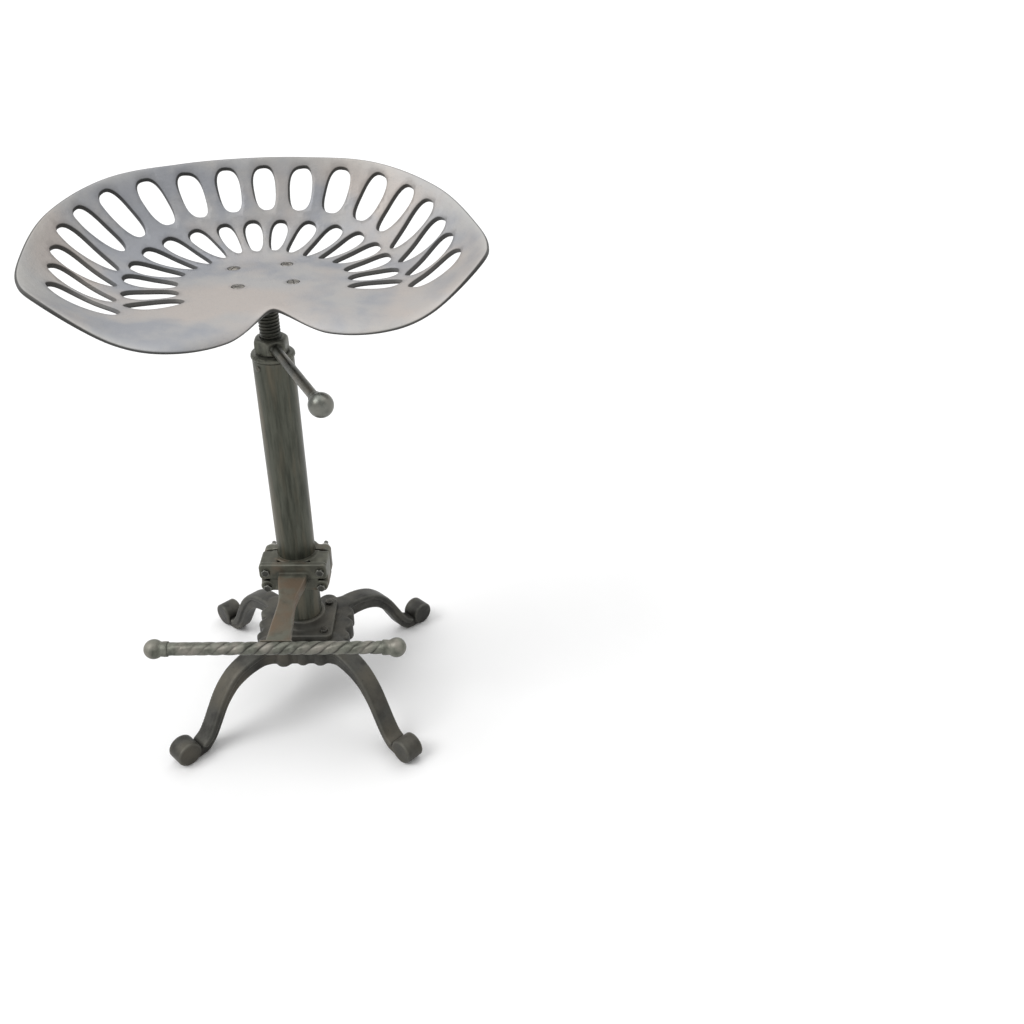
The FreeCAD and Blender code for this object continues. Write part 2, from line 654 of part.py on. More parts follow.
def seat_screws():
    """Four slotted screws that hold the pan to the plate."""
    nut_height = NUT_HEIGHT_SHARE * SEAT_SCREW_D
    low = PLATE_BOTTOM - WASHER_THICK_SHARE * SEAT_SCREW_D - nut_height - SEAT_SCREW_TAIL
    top = SEAT_HEIGHT + SEAT_HEAD_PROUD
    screws = []
    for x, y in corners(SEAT_SCREW_PITCH / 2):
        head = Part.makeCone(
            SEAT_SCREW_D / 2, SEAT_HEAD_D / 2, SEAT_HEAD_HEIGHT, Vector(x, y, top - SEAT_HEAD_HEIGHT)
        )
        screw = head.fuse(cylinder(SEAT_SCREW_D / 2, low, top - SEAT_HEAD_HEIGHT + 0.5, x, y))
        slot = block(
            x - SEAT_HEAD_D, x + SEAT_HEAD_D, y - SEAT_SLOT_WIDTH / 2, y + SEAT_SLOT_WIDTH / 2,
            top - SEAT_SLOT_DEPTH, top + 1,
        )
        screws.append(turned(screw.cut(slot), SEAT_TURN))
    return screws


def seat_washers():
    """Four washers under the seat plate."""
    under = [placed(washer(SEAT_SCREW_D), x, y, PLATE_BOTTOM) for x, y in corners(SEAT_SCREW_PITCH / 2)]
    return [turned(one, SEAT_TURN) for one in under]


def seat_nuts():
    """Four nuts under the washers."""
    height = PLATE_BOTTOM - WASHER_THICK_SHARE * SEAT_SCREW_D
    under = [placed(hex_nut(SEAT_SCREW_D), x, y, height) for x, y in corners(SEAT_SCREW_PITCH / 2)]
    return [turned(one, SEAT_TURN) for one in under]


def clamp_holes():
    """Points of the four clamp bolts as x and z."""
    low = CLAMP_LOW + CLAMP_BOLT_LOW
    return [(sx * CLAMP_BOLT_HALF, z) for sx in (-1, 1) for z in (low, low + CLAMP_BOLT_RISE)]


def drill_clamp(shape):
    """Cut the four clamp bolt holes through a jaw, along Y."""
    for x, z in clamp_holes():
        hole = Part.makeCylinder(
            CLAMP_BOLT_D / 2 + HOLE_PLAY, 2 * CLAMP_FRONT + 20, Vector(x, -CLAMP_FRONT - 10, z), Vector(0, 1, 0)
        )
        shape = shape.cut(hole)
    return shape


def arm():
    """Footrest arm from the clamp's lip down to the bar, waisted in plan."""
    root_top = CLAMP_TOP + CLAMP_LIP_RISE - ARM_ROOT_BELOW_LIP
    end = -BAR_FORWARD + BAR_D / 4
    start = -CLAMP_FRONT + 1.0
    waist = start + ARM_WAIST_SHARE * (end - start)
    edges = []
    for side in (1, -1):
        points = [
            Vector(side * ARM_ROOT_WIDTH / 2, start, 0),
            Vector(side * ARM_WAIST_WIDTH / 2, waist, 0),
            Vector(side * ARM_END_WIDTH / 2, end, 0),
        ]
        edges.append(curve(points))
    wire = Part.Wire(
        [
            edges[0],
            Part.makeLine(Vector(ARM_END_WIDTH / 2, end, 0), Vector(-ARM_END_WIDTH / 2, end, 0)),
            edges[1],
            Part.makeLine(Vector(-ARM_ROOT_WIDTH / 2, start, 0), Vector(ARM_ROOT_WIDTH / 2, start, 0)),
        ]
    )
    plan = Part.Face(wire).extrude(Vector(0, 0, CLAMP_TOP + 50))
    end_top = BAR_HEIGHT
    side_outline = [
        Vector(-60, start, root_top),
        Vector(-60, end, end_top),
        Vector(-60, end, end_top - ARM_THICK),
        Vector(-60, start, root_top - ARM_THICK),
        Vector(-60, start, root_top),
    ]
    slab = Part.Face(Part.makePolygon(side_outline)).extrude(Vector(120, 0, 0))
    return plan.common(slab)


def bar_way(radius, half_length):
    """Cylinder along the footrest bar's line."""
    return Part.makeCylinder(
        radius, 2 * half_length, Vector(-half_length, -BAR_FORWARD, BAR_HEIGHT), Vector(1, 0, 0)
    )


def footrest_arm():
    """Front jaw of the clamp with its bolt ears, face lip and the arm to the bar."""
    split = -CLAMP_SPLIT / 2
    lip_back = -CLAMP_FRONT + CLAMP_LIP
    lip = block(-CLAMP_HALF_WIDTH, CLAMP_HALF_WIDTH, -CLAMP_FRONT, lip_back, CLAMP_LOW, CLAMP_TOP + CLAMP_LIP_RISE)
    foot = [e for e in lip.Edges if abs(e.tangentAt(e.FirstParameter).y) > 0.9]
    lip = lip.makeFillet(6.0, foot)
    ears = [
        block(sx - CLAMP_EAR, sx + CLAMP_EAR, lip_back - 1, split, CLAMP_LOW + 1, CLAMP_TOP)
        for sx in (CLAMP_EAR - CLAMP_HALF_WIDTH, CLAMP_HALF_WIDTH - CLAMP_EAR)
    ]
    collar = cylinder(POST_R + CLAMP_RING, CLAMP_LOW + 1, CLAMP_TOP)
    collar = collar.common(block(-60, 60, -60, split, CLAMP_LOW, CLAMP_TOP))
    jaw = join([lip, collar, arm()] + ears)
    jaw = jaw.cut(cylinder(POST_R + RUNNING_GAP, CLAMP_LOW - 5, CLAMP_TOP + 5))
    jaw = jaw.cut(bar_way(BAR_D / 2 + SEAT_FIT, BAR_BALL_HALF))
    return drill_clamp(jaw)


def clamp_rear_jaw():
    """Rear jaw of the clamp: half ring and two bolt ears."""
    split = CLAMP_SPLIT / 2
    ears = [
        block(sx - CLAMP_EAR, sx + CLAMP_EAR, split, split + REAR_EAR, CLAMP_LOW + 1, CLAMP_TOP)
        for sx in (CLAMP_EAR - CLAMP_HALF_WIDTH, CLAMP_HALF_WIDTH - CLAMP_EAR)
    ]
    collar = cylinder(POST_R + CLAMP_RING, CLAMP_LOW + 1, CLAMP_TOP)
    collar = collar.common(block(-60, 60, split, 60, CLAMP_LOW, CLAMP_TOP))
    jaw = join([collar] + ears)
    jaw = jaw.cut(cylinder(POST_R + RUNNING_GAP, CLAMP_LOW - 5, CLAMP_TOP + 5))
    seat_r = WASHER_D_SHARE * CLAMP_BOLT_D / 2 + SPOT_FACE_PLAY
    for x, z in clamp_holes():
        jaw = jaw.cut(Part.makeCylinder(seat_r, POST_R, Vector(x, split + REAR_EAR, z), Vector(0, 1, 0)))
    return drill_clamp(jaw)


def clamp_bolts():
    """Four bolts from the lip back through both jaws."""
    back = CLAMP_SPLIT / 2 + REAR_EAR
    fasteners = (WASHER_THICK_SHARE + NUT_HEIGHT_SHARE) * CLAMP_BOLT_D
    bolt = across(hex_bolt(CLAMP_BOLT_D, CLAMP_FRONT + back, fasteners + CLAMP_BOLT_TAIL))
    return [placed(bolt, x, -CLAMP_FRONT, z) for x, z in clamp_holes()]


def clamp_washers():
    """Four washers behind the rear jaw."""
    back = CLAMP_SPLIT / 2 + REAR_EAR
    return [placed(across(washer(CLAMP_BOLT_D)), x, back, z) for x, z in clamp_holes()]


def clamp_nuts():
    """Four nuts behind the washers."""
    back = CLAMP_SPLIT / 2 + REAR_EAR + WASHER_THICK_SHARE * CLAMP_BOLT_D
    return [placed(across(hex_nut(CLAMP_BOLT_D)), x, back, z) for x, z in clamp_holes()]


def footrest_bar():
    """Round bar across the arm's end."""
    return bar_way(BAR_D / 2, BAR_BALL_HALF - BAR_SPIGOT / 2)


def footrest_ball(side):
    """Ball and collar on one end of the bar."""
    centre = Vector(side * BAR_BALL_HALF, -BAR_FORWARD, BAR_HEIGHT)
    ball = Part.makeSphere(BAR_BALL_D / 2, centre, Vector(side, 0, 0))
    inner = BAR_BALL_HALF - BAR_BALL_D / 2 - BAR_COLLAR_LENGTH
    sleeve = Part.makeCylinder(
        BAR_COLLAR_D / 2,
        BAR_BALL_HALF - inner,
        Vector(side * inner, -BAR_FORWARD, BAR_HEIGHT),
        Vector(side, 0, 0),
    )
    knob = ball.fuse(sleeve)
    socket = Part.makeCylinder(
        BAR_D / 2 + SEAT_FIT,
        BAR_BALL_HALF - BAR_SPIGOT / 2 - inner + SEAT_FIT + 5,
        Vector(side * (inner - 5), -BAR_FORWARD, BAR_HEIGHT),
        Vector(side, 0, 0),
    )
    return knob.cut(socket)


def write(name, shape):
    """Write one node's STEP file and say how many solids it holds."""
    solids = shape if isinstance(shape, list) else [shape]
    solids = [s for one in solids for s in one.Solids]
    whole = Part.makeCompound(solids) if len(solids) > 1 else solids[0]
    valid = all(s.isValid() for s in solids)
    whole.exportStep(os.path.join("parts", name + ".step"))
    print(f"{name}: {len(solids)} solid(s), {whole.Volume / 1000:.1f} cm3, valid {valid}")


def main():
    """Build every node and write it."""
    os.makedirs("parts", exist_ok=True)
    nodes = {
        "base_casting": base_casting(),
        "post_flange": post_flange(),
        "flange_bolts": flange_bolts(),
        "flange_nuts": flange_nuts(),
        "post_tube": post_tube(),
        "thread_bush": thread_bush(),
        "bush_rivet": bush_rivet(),
        "lever_nut": lever_nut(),
        "lever_rod": lever_rod(),
        "lever_collar": lever_collar(),
        "lever_ball": lever_ball(),
        "spindle": spindle(),
        "spindle_guide": spindle_guide(),
        "spindle_stop": spindle_stop(),
        "seat_plate": seat_plate(),
        "seat_pan": seat_pan(),
        "seat_screws": seat_screws(),
        "seat_washers": seat_washers(),
        "seat_nuts": seat_nuts(),
        "footrest_arm": footrest_arm(),
        "clamp_rear_jaw": clamp_rear_jaw(),
        "clamp_bolts": clamp_bolts(),
        "clamp_washers": clamp_washers(),
        "clamp_nuts": clamp_nuts(),
        "footrest_bar": footrest_bar(),
        "footrest_ball_left": footrest_ball(-1),
        "footrest_ball_right": footrest_ball(1),
    }
    for name, shape in nodes.items():
        write(name, shape)


main()
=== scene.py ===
"""Looks of a tractor seat stool: slotted bucket seat on a screw, pipe post, clamped footrest and cast base.

Lengths are millimetres in the stool's own frame, +Z up and -Y towards the footrest. A mesh is written in metres.
"""

from __future__ import annotations

import logging
import math
from dataclasses import dataclass, field
from enum import Enum
from typing import Callable

import bpy
import numpy as np
from mathutils import Matrix, Vector
from mathutils.geometry import delaunay_2d_cdt

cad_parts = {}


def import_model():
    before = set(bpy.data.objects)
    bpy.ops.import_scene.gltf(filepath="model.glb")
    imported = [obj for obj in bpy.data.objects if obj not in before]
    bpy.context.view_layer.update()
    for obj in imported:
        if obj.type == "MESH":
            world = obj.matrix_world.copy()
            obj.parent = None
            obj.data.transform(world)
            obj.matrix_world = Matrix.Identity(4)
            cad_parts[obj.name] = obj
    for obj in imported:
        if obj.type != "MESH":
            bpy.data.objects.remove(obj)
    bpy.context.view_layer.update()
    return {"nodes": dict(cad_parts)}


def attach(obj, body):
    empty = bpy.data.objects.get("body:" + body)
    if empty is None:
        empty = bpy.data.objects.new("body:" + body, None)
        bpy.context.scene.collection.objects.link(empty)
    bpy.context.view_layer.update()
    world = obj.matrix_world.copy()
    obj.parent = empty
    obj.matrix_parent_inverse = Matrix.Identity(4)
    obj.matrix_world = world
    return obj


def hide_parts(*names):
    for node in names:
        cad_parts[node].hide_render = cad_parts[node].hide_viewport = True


Array = np.ndarray
Field = Callable[[Array, Array, Array], Array]
Colour = tuple[float, float, float]
Tree = bpy.types.NodeTree
Socket = bpy.types.NodeSocket
LOG = logging.getLogger("stool")
METRES = 0.001


def smooth_min(a: Array, b: Array, blend: float) -> Array:
    """Union of two distance fields with a fillet.

    Where they come within the blend length of each other, the lower one is lowered by blend h (1 - h), with h running
    from 0 to 1 across the meeting.

    Args:
        a: First distances.
        b: Second distances.
        blend: Fillet length.

    Returns:
        The joined distances.
    """
    h = np.clip(0.5 + 0.5 * (b - a) / blend, 0.0, 1.0)
    return b + (a - b) * h - blend * h * (1.0 - h)


def smooth_max(a: Array, b: Array, blend: float) -> Array:
    """Overlap of two distance fields with a rounded edge: smooth_min with both signs turned."""
    return -smooth_min(-a, -b, blend)


def rounded(a: Array, b: Array, radius: float) -> Array:
    """Overlap of two square distance fields with an edge of that radius: a quarter circle about (-radius, -radius)."""
    qa, qb = a + radius, b + radius
    return np.hypot(np.maximum(qa, 0.0), np.maximum(qb, 0.0)) + np.minimum(np.maximum(qa, qb), 0.0) - radius


def rectangle(u: Array, v: Array, half_u: float | Array, half_v: float | Array, radius: float) -> Array:
    """Distance to a centred rectangle with round corners, negative inside."""
    return rounded(np.abs(u) - half_u, np.abs(v) - half_v, radius)


def between(w: Array, low: float, high: float) -> Array:
    """Distance to the slab between two levels, negative inside."""
    return np.abs(w - (low + high) / 2) - (high - low) / 2


def smooth_step(t: Array) -> Array:
    """0 to 1 with level ends: t t (3 - 2 t) of t held between 0 and 1."""
    t = np.clip(t, 0.0, 1.0)
    return t * t * (3.0 - 2.0 * t)


def flowing(points: list[tuple[float, float]], per_span: int = 8) -> Array:
    """Curve through points: a cubic in each span whose end slopes are half the step between the neighbours.

    Args:
        points: Points of the curve.
        per_span: Pieces that each span is cut into.

    Returns:
        Points along the curve, as rows.
    """
    p = np.array(points, float)
    padded = np.vstack([2 * p[0] - p[1], p, 2 * p[-1] - p[-2]])
    slopes = (padded[2:] - padded[:-2]) / 2
    t = (np.arange(per_span) / per_span)[None, :, None]
    a, b = p[:-1, None], p[1:, None]
    ma, mb = slopes[:-1, None], slopes[1:, None]
    body = (2 * t**3 - 3 * t**2 + 1) * a + (t**3 - 2 * t**2 + t) * ma
    body = body + (3 * t**2 - 2 * t**3) * b + (t**3 - t**2) * mb
    return np.vstack([body.reshape(-1, 2), p[-1:]])


def arc(centre: tuple[float, float], radius: float, start: float, end: float, count: int) -> Array:
    """Points on a circle between two angles in degrees."""
    angle = np.radians(np.linspace(start, end, count))
    return np.stack([centre[0] + radius * np.cos(angle), centre[1] + radius * np.sin(angle)], axis=1)


@dataclass
class Outline:
    """Distance to a closed outline, read from a fine table that is filled once.

    Attributes:
        points: Corners of the outline.
        pitch: Table spacing.
        margin: How far the table reaches past the outline.
    """

    points: Array
    pitch: float = 0.5
    margin: float = 14.0
    low: Array = field(init=False)
    table: Array = field(init=False)

    def __post_init__(self) -> None:
        """Fill the table: least distance to any side, negative where a ray crosses the outline an odd time."""
        self.low = self.points.min(0) - self.margin
        count = np.ceil((self.points.max(0) + self.margin - self.low) / self.pitch).astype(int) + 1
        u = (self.low[0] + self.pitch * np.arange(count[0]))[:, None]
        v = (self.low[1] + self.pitch * np.arange(count[1]))[None, :]
        least = np.full((count[0], count[1]), 1e9)
        odd = np.zeros((count[0], count[1]), bool)
        for (au, av), (bu, bv) in zip(self.points, np.roll(self.points, -1, axis=0)):
            su, sv = bu - au, bv - av
            share = np.clip(((u - au) * su + (v - av) * sv) / (su * su + sv * sv + 1e-12), 0.0, 1.0)
            least = np.minimum(least, (u - au - share * su) ** 2 + (v - av - share * sv) ** 2)
            if av != bv:
                odd ^= ((av > v) != (bv > v)) & (u < au + (v - av) * su / sv)
        self.table = np.where(odd, -1.0, 1.0) * np.sqrt(least)

    def __call__(self, u: Array, v: Array) -> Array:
        """Distance at points, weighed between the four table values round each.

        Args:
            u: First coordinates.
            v: Second coordinates.

        Returns:
            The distances, negative inside.
        """
        top = np.array(self.table.shape) - 1.001
        i = np.clip((u - self.low[0]) / self.pitch, 0.0, top[0])
        j = np.clip((v - self.low[1]) / self.pitch, 0.0, top[1])
        i0, j0 = i.astype(int), j.astype(int)
        fi, fj = i - i0, j - j0
        t = self.table
        near = t[i0, j0] * (1 - fj) + t[i0, j0 + 1] * fj
        far = t[i0 + 1, j0] * (1 - fj) + t[i0 + 1, j0 + 1] * fj
        return near * (1 - fi) + far * fi


@dataclass
class Surface:
    """Points in millimetres and the faces between them.

    Attributes:
        points: One row of three for each point.
        quads: Faces with four corners.
        tris: Faces with three corners.
        normals: Direction of each point's surface, or None to let Blender work it out.
        values: Named numbers, one for each point.
    """

    points: Array
    quads: Array = field(default_factory=lambda: np.zeros((0, 4), int))
    tris: Array = field(default_factory=lambda: np.zeros((0, 3), int))
    normals: Array | None = None
    values: dict[str, Array] = field(default_factory=dict)

    def placed(self, turn: Array, move: Array) -> Surface:
        """The surface turned by a 3 by 3 matrix and then moved."""
        normals = None if self.normals is None else self.normals @ turn.T
        return Surface(self.points @ turn.T + move, self.quads, self.tris, normals, self.values)

    @staticmethod
    def joined(parts: list[Surface]) -> Surface:
        """Several surfaces as one, with no points merged and no point values.

        Args:
            parts: The surfaces; either all have normals or none has.

        Returns:
            The joined surface.
        """
        starts = np.cumsum([0] + [len(p.points) for p in parts])
        normals = None if parts[0].normals is None else np.vstack([p.normals for p in parts])
        return Surface(
            np.vstack([p.points for p in parts]),
            np.vstack([p.quads + s for p, s in zip(parts, starts)]),
            np.vstack([p.tris + s for p, s in zip(parts, starts)]),
            normals,
        )


def about_z(degrees: float) -> Array:
    """3 by 3 matrix of a turn about the post axis."""
    c, s = math.cos(math.radians(degrees)), math.sin(math.radians(degrees))
    return np.array([[c, -s, 0.0], [s, c, 0.0], [0.0, 0.0, 1.0]])


def along(direction: Array) -> Array:
    """3 by 3 matrix that lays +Z along a direction.

    Args:
        direction: The direction, of any length.

    Returns:
        The matrix, its columns at right angles and of length 1.
    """
    w = np.array(direction, float) / np.linalg.norm(direction)
    helper = np.array([0.0, 0.0, 1.0]) if abs(w[2]) < 0.9 else np.array([1.0, 0.0, 0.0])
    u = np.cross(helper, w)
    u /= np.linalg.norm(u)
    return np.stack([u, np.cross(w, u), w], axis=1)


def skin(rings: Array, closed: bool = False) -> Surface:
    """Surface over rings of points that run anticlockwise about the way they are stacked.

    Args:
        rings: Points as rows, around, three.
        closed: True joins the last ring to the first; False closes each end with a fan to its middle.

    Returns:
        The closed surface.
    """
    rows, around = rings.shape[:2]
    index = np.arange(rows * around).reshape(rows, around)
    step = np.roll(index, -1, axis=1)
    low, high, low_step, high_step = index[:-1], index[1:], step[:-1], step[1:]
    if closed:
        low, low_step = index, step
        high, high_step = np.roll(index, -1, axis=0), np.roll(step, -1, axis=0)
    quads = np.stack([low, low_step, high_step, high], axis=-1).reshape(-1, 4)
    points = rings.reshape(-1, 3)
    if closed:
        return Surface(points, quads)
    first, last = rows * around, rows * around + 1
    points = np.vstack([points, rings[0].mean(0), rings[-1].mean(0)])
    start = np.stack([np.full(around, first), step[0], index[0]], axis=1)
    end = np.stack([np.full(around, last), index[-1], step[-1]], axis=1)
    return Surface(points, quads, np.vstack([start, end]))


def lathe(profile: Array, around: int = 64, closed: bool = False, ripple: Array | float = 0.0) -> Surface:
    """Surface of a profile turned about +Z: x = (r + ripple) cos a, y = (r + ripple) sin a.

    Args:
        profile: Rows of radius and height, going up the outside.
        around: Points round the turn.
        closed: True for a profile that comes back to its start, as on a tube.
        ripple: What is added to the radius, by row and by angle.

    Returns:
        The turned surface.
    """
    angle = np.linspace(0.0, 2 * np.pi, around, endpoint=False)[None, :]
    radius = profile[:, :1] + ripple
    height = np.broadcast_to(profile[:, 1:], (len(profile), around))
    return skin(np.stack([radius * np.cos(angle), radius * np.sin(angle), height], axis=-1), closed)


def hexagon_lathe(rows: list[tuple[float, float]], flats: float, around: int = 96, closed: bool = False) -> Surface:
    """Hexagon with rounded corners, each row of it held inside a circle.

    The hexagon's radius at angle a is half the flats over the 48th-power mean of the six cos(a - 60 k), which rounds
    its corners. It meets the row's circle through the same kind of mean, which rounds the chamfer's edge.

    Args:
        rows: Circle radius and height of each row, going up the outside.
        flats: Distance across the flats.
        around: Points round the turn.
        closed: True for rows that come back to their start through a bore.

    Returns:
        The closed surface.
    """
    angle = np.linspace(0.0, 2 * np.pi, around, endpoint=False)
    facing = np.maximum(np.cos(angle[:, None] - np.radians(60.0 * np.arange(6))[None, :]), 1e-3)
    hexagon = flats / 2 * (facing**48).sum(1) ** (-1 / 48)
    circle = np.array([r for r, _ in rows])[:, None] + 1e-6
    height = np.array([z for _, z in rows])[:, None]
    radius = (circle**-30.0 + hexagon[None, :] ** -30.0) ** (-1 / 30)
    x, y = radius * np.cos(angle), radius * np.sin(angle)
    return skin(np.stack([x, y, np.broadcast_to(height, x.shape)], axis=-1), closed)


def hexagon_bolt(diameter: float, length: float) -> Surface:
    """Hexagon bolt up +Z: shank below zero, domed and chamfered head above it.

    Args:
        diameter: Thread diameter.
        length: Shank length under the head.

    Returns:
        The closed surface.
    """
    r, flats, high = diameter / 2, 1.625 * diameter, 0.66 * diameter
    corner = flats / math.sqrt(3)
    rows = [(r - 0.6, -length), (r, -length + 0.6), (r, -0.01), (flats / 2 - 0.4, 0.0), (corner * 1.02, 0.25)]
    dome = ((1.02, 0.35), (1.01, 0.62), (0.97, 0.78), (0.90, 0.90), (0.80, 0.97), (0.6, 1.0), (0.3, 1.0))
    rows += [(corner * across, high * up) for across, up in dome]
    return hexagon_lathe(rows, flats, 72)


def slope(shape: Field, points: Array, step: float) -> Array:
    """Gradient of a field at points, from the difference across each.

    Args:
        shape: The field.
        points: Points as rows.
        step: How far the difference reaches each way.

    Returns:
        One gradient for each point.
    """
    parts = []
    for axis in np.eye(3) * step:
        ahead, behind = (points + axis).T, (points - axis).T
        parts.append((shape(*ahead) - shape(*behind)) / (2 * step))
    return np.stack(parts, axis=1)


def cast(shape: Field, low: tuple[float, float, float], high: tuple[float, float, float], pitch: float) -> Surface:
    """Surface where a distance field is zero.

    A grid of cubes covers the box. Each cube that the surface passes through gets one point, the mean of where the
    surface cuts its twelve edges, drawn onto the surface by two steps down the slope. Each grid edge that is cut gets
    the quad between the four cubes round it.

    Args:
        shape: Distance field, negative inside.
        low: Low corner of the box.
        high: High corner of the box.
        pitch: Side of a cube.

    Returns:
        The closed surface with its normals.
    """
    axes = [np.arange(a - 1.5 * pitch, b + 2.5 * pitch, pitch) for a, b in zip(low, high)]
    x, y, z = np.meshgrid(*axes, indexing="ij", sparse=True)
    d = np.broadcast_to(shape(x, y, z), tuple(len(a) for a in axes)).astype(np.float32)
    solid = d < 0
    cells = tuple(n - 1 for n in d.shape)
    corners = [(i, j, k) for i in (0, 1) for j in (0, 1) for k in (0, 1)]
    count = sum(solid[i : i + cells[0], j : j + cells[1], k : k + cells[2]].astype(np.uint8) for i, j, k in corners)
    cell = np.argwhere((count > 0) & (count < 8))
    total = np.zeros((len(cell), 3))
    cuts = np.zeros(len(cell))
    for axis in range(3):
        ahead = np.eye(3, dtype=int)[axis]
        for corner in [c for c in corners if c[axis] == 0]:
            start = cell + np.array(corner)
            a, b = d[tuple(start.T)], d[tuple((start + ahead).T)]
            cut = (a < 0) != (b < 0)
            share = np.where(cut, a / np.where(cut, a - b, 1.0), 0.0)
            total += np.where(cut[:, None], start + share[:, None] * ahead, 0.0)
            cuts += cut
    points = (total / cuts[:, None]) * pitch + np.array([a[0] for a in axes])
    for _ in range(2):
        g = slope(shape, points, 0.05)
        away = shape(*points.T)[:, None] * g / np.maximum((g * g).sum(1, keepdims=True), 0.05)
        points = points - np.clip(away, -0.5 * pitch, 0.5 * pitch)
    g = slope(shape, points, 0.05)
    normals = g / np.maximum(np.linalg.norm(g, axis=1, keepdims=True), 1e-9)
    number = np.full(cells, -1)
    number[tuple(cell.T)] = np.arange(len(cell))
    quads = []
    for axis in range(3):
        u, v = (axis + 1) % 3, (axis + 2) % 3
        eu, ev = np.eye(3, dtype=int)[u], np.eye(3, dtype=int)[v]
        length = [n - 1 if a == axis else n for a, n in enumerate(d.shape)]
        near = solid[: length[0], : length[1], : length[2]]
        far = np.take(solid, np.arange(1, d.shape[axis]), axis=axis)
        edge = np.argwhere(near != far)
        out = near[tuple(edge.T)]
        ring = [number[tuple((edge - s).T)] for s in (eu + ev, ev, 0 * eu, eu)]
        face = np.stack(ring, axis=1)
        quads.append(np.where(out[:, None], face, face[:, ::-1]))
    surface = Surface(points, np.vstack(quads), normals=normals)
    # Painted shade in corners and crevices, kept as a point value that the finish reads.
    surface.values["painted_shade"] = occlusion_shade(shape, points, normals)
    return surface


def occlusion_shade(shape: Field, points: Array, normals: Array) -> Array:
    """Painted shade for corners and creases: how shut in each point is, from 0 on an open face to 0.92 in a deep
    corner.

    At three distances the room in front of the point, as the field gives it, is set against the distance. What is
    missing of it is added up by shares, spread by 1.5 and lowered by 0.10.

    Args:
        shape: Distance field, negative inside.
        points: Points on its surface.
        normals: Outward directions there.

    Returns:
        One number for each point.
    """
    shut = np.zeros(len(points))
    for distance, share in ((1.5, 0.30), (3.0, 0.40), (6.0, 0.30)):
        room = shape(*(points + normals * distance).T)
        shut += share * np.clip(1.0 - room / distance, 0.0, 1.0)
    return np.clip(1.5 * shut - 0.10, 0.0, 0.92)


def piece(name: str, surface: Surface, crisp: bool = False) -> bpy.types.Object:
    """Blender object of a surface, at the origin, in metres.

    Args:
        name: Name of the piece.
        surface: Its points and faces.
        crisp: True weighs normals by face size, so that flats stay flat beside small roundings.

    Returns:
        The new object.
    """
    mesh = bpy.data.meshes.new(name)
    loops = np.concatenate([surface.tris.ravel(), surface.quads.ravel()]).astype(np.int32)
    ends = np.concatenate([np.full(len(surface.tris), 3), np.full(len(surface.quads), 4)]).cumsum()
    mesh.vertices.add(len(surface.points))
    mesh.vertices.foreach_set("co", (surface.points * METRES).astype(np.float32).ravel())
    mesh.loops.add(len(loops))
    mesh.loops.foreach_set("vertex_index", loops)
    mesh.polygons.add(len(ends))
    mesh.polygons.foreach_set("loop_start", np.concatenate([[0], ends[:-1]]).astype(np.int32))
    mesh.update(calc_edges=True)
    mesh.polygons.foreach_set("use_smooth", np.ones(len(ends), bool))
    for label, numbers in surface.values.items():
        mesh.attributes.new(label, "FLOAT", "POINT").data.foreach_set("value", numbers.astype(np.float32))
    if surface.normals is not None:
        mesh.normals_split_custom_set_from_vertices(surface.normals.tolist())
    mesh.update()
    obj = bpy.data.objects.new(name, mesh)
    bpy.context.scene.collection.objects.link(obj)
    if crisp:
        weighted = obj.modifiers.new("flats", "WEIGHTED_NORMAL")
        weighted.weight = 90
    LOG.info("%s: %d faces", name, len(ends))
    return obj


def combined(tree: Tree, operation: str, first: Socket, second: Socket | float) -> Socket:
    """Result of a Math node.

    Args:
        tree: Tree of the material or world.
        operation: Blender's name for the operation.
        first: First value.
        second: Second value, or a number.

    Returns:
        The result.
    """
    node = tree.nodes.new("ShaderNodeMath")
    node.operation = operation
    tree.links.new(first, node.inputs[0])
    if isinstance(second, float):
        node.inputs[1].default_value = second
    else:
        tree.links.new(second, node.inputs[1])
    return node.outputs[0]


def blended(tree: Tree, share: Socket, first: Socket | Colour, second: Socket | Colour) -> Socket:
    """Colour between two colours.

    Args:
        tree: Tree of the material.
        share: Share of the second colour.
        first: First colour.
        second: Second colour.

    Returns:
        The blended colour.
    """
    mix = tree.nodes.new("ShaderNodeMix")
    mix.data_type = "RGBA"
    tree.links.new(share, mix.inputs["Factor"])
    sockets = [socket for socket in mix.inputs if socket.type == "RGBA"]
    for socket, colour in zip(sockets, (first, second)):
        if isinstance(colour, tuple):
            socket.default_value = (*colour, 1.0)
        else:
            tree.links.new(colour, socket)
    return [socket for socket in mix.outputs if socket.type == "RGBA"][0]


class Grain(Enum):
    """How a finish's marks lie: even, or drawn out along the post."""

    EVEN = (1.0, 1.0, 1.0)
    STREAKED = (1.0, 1.0, 0.11)


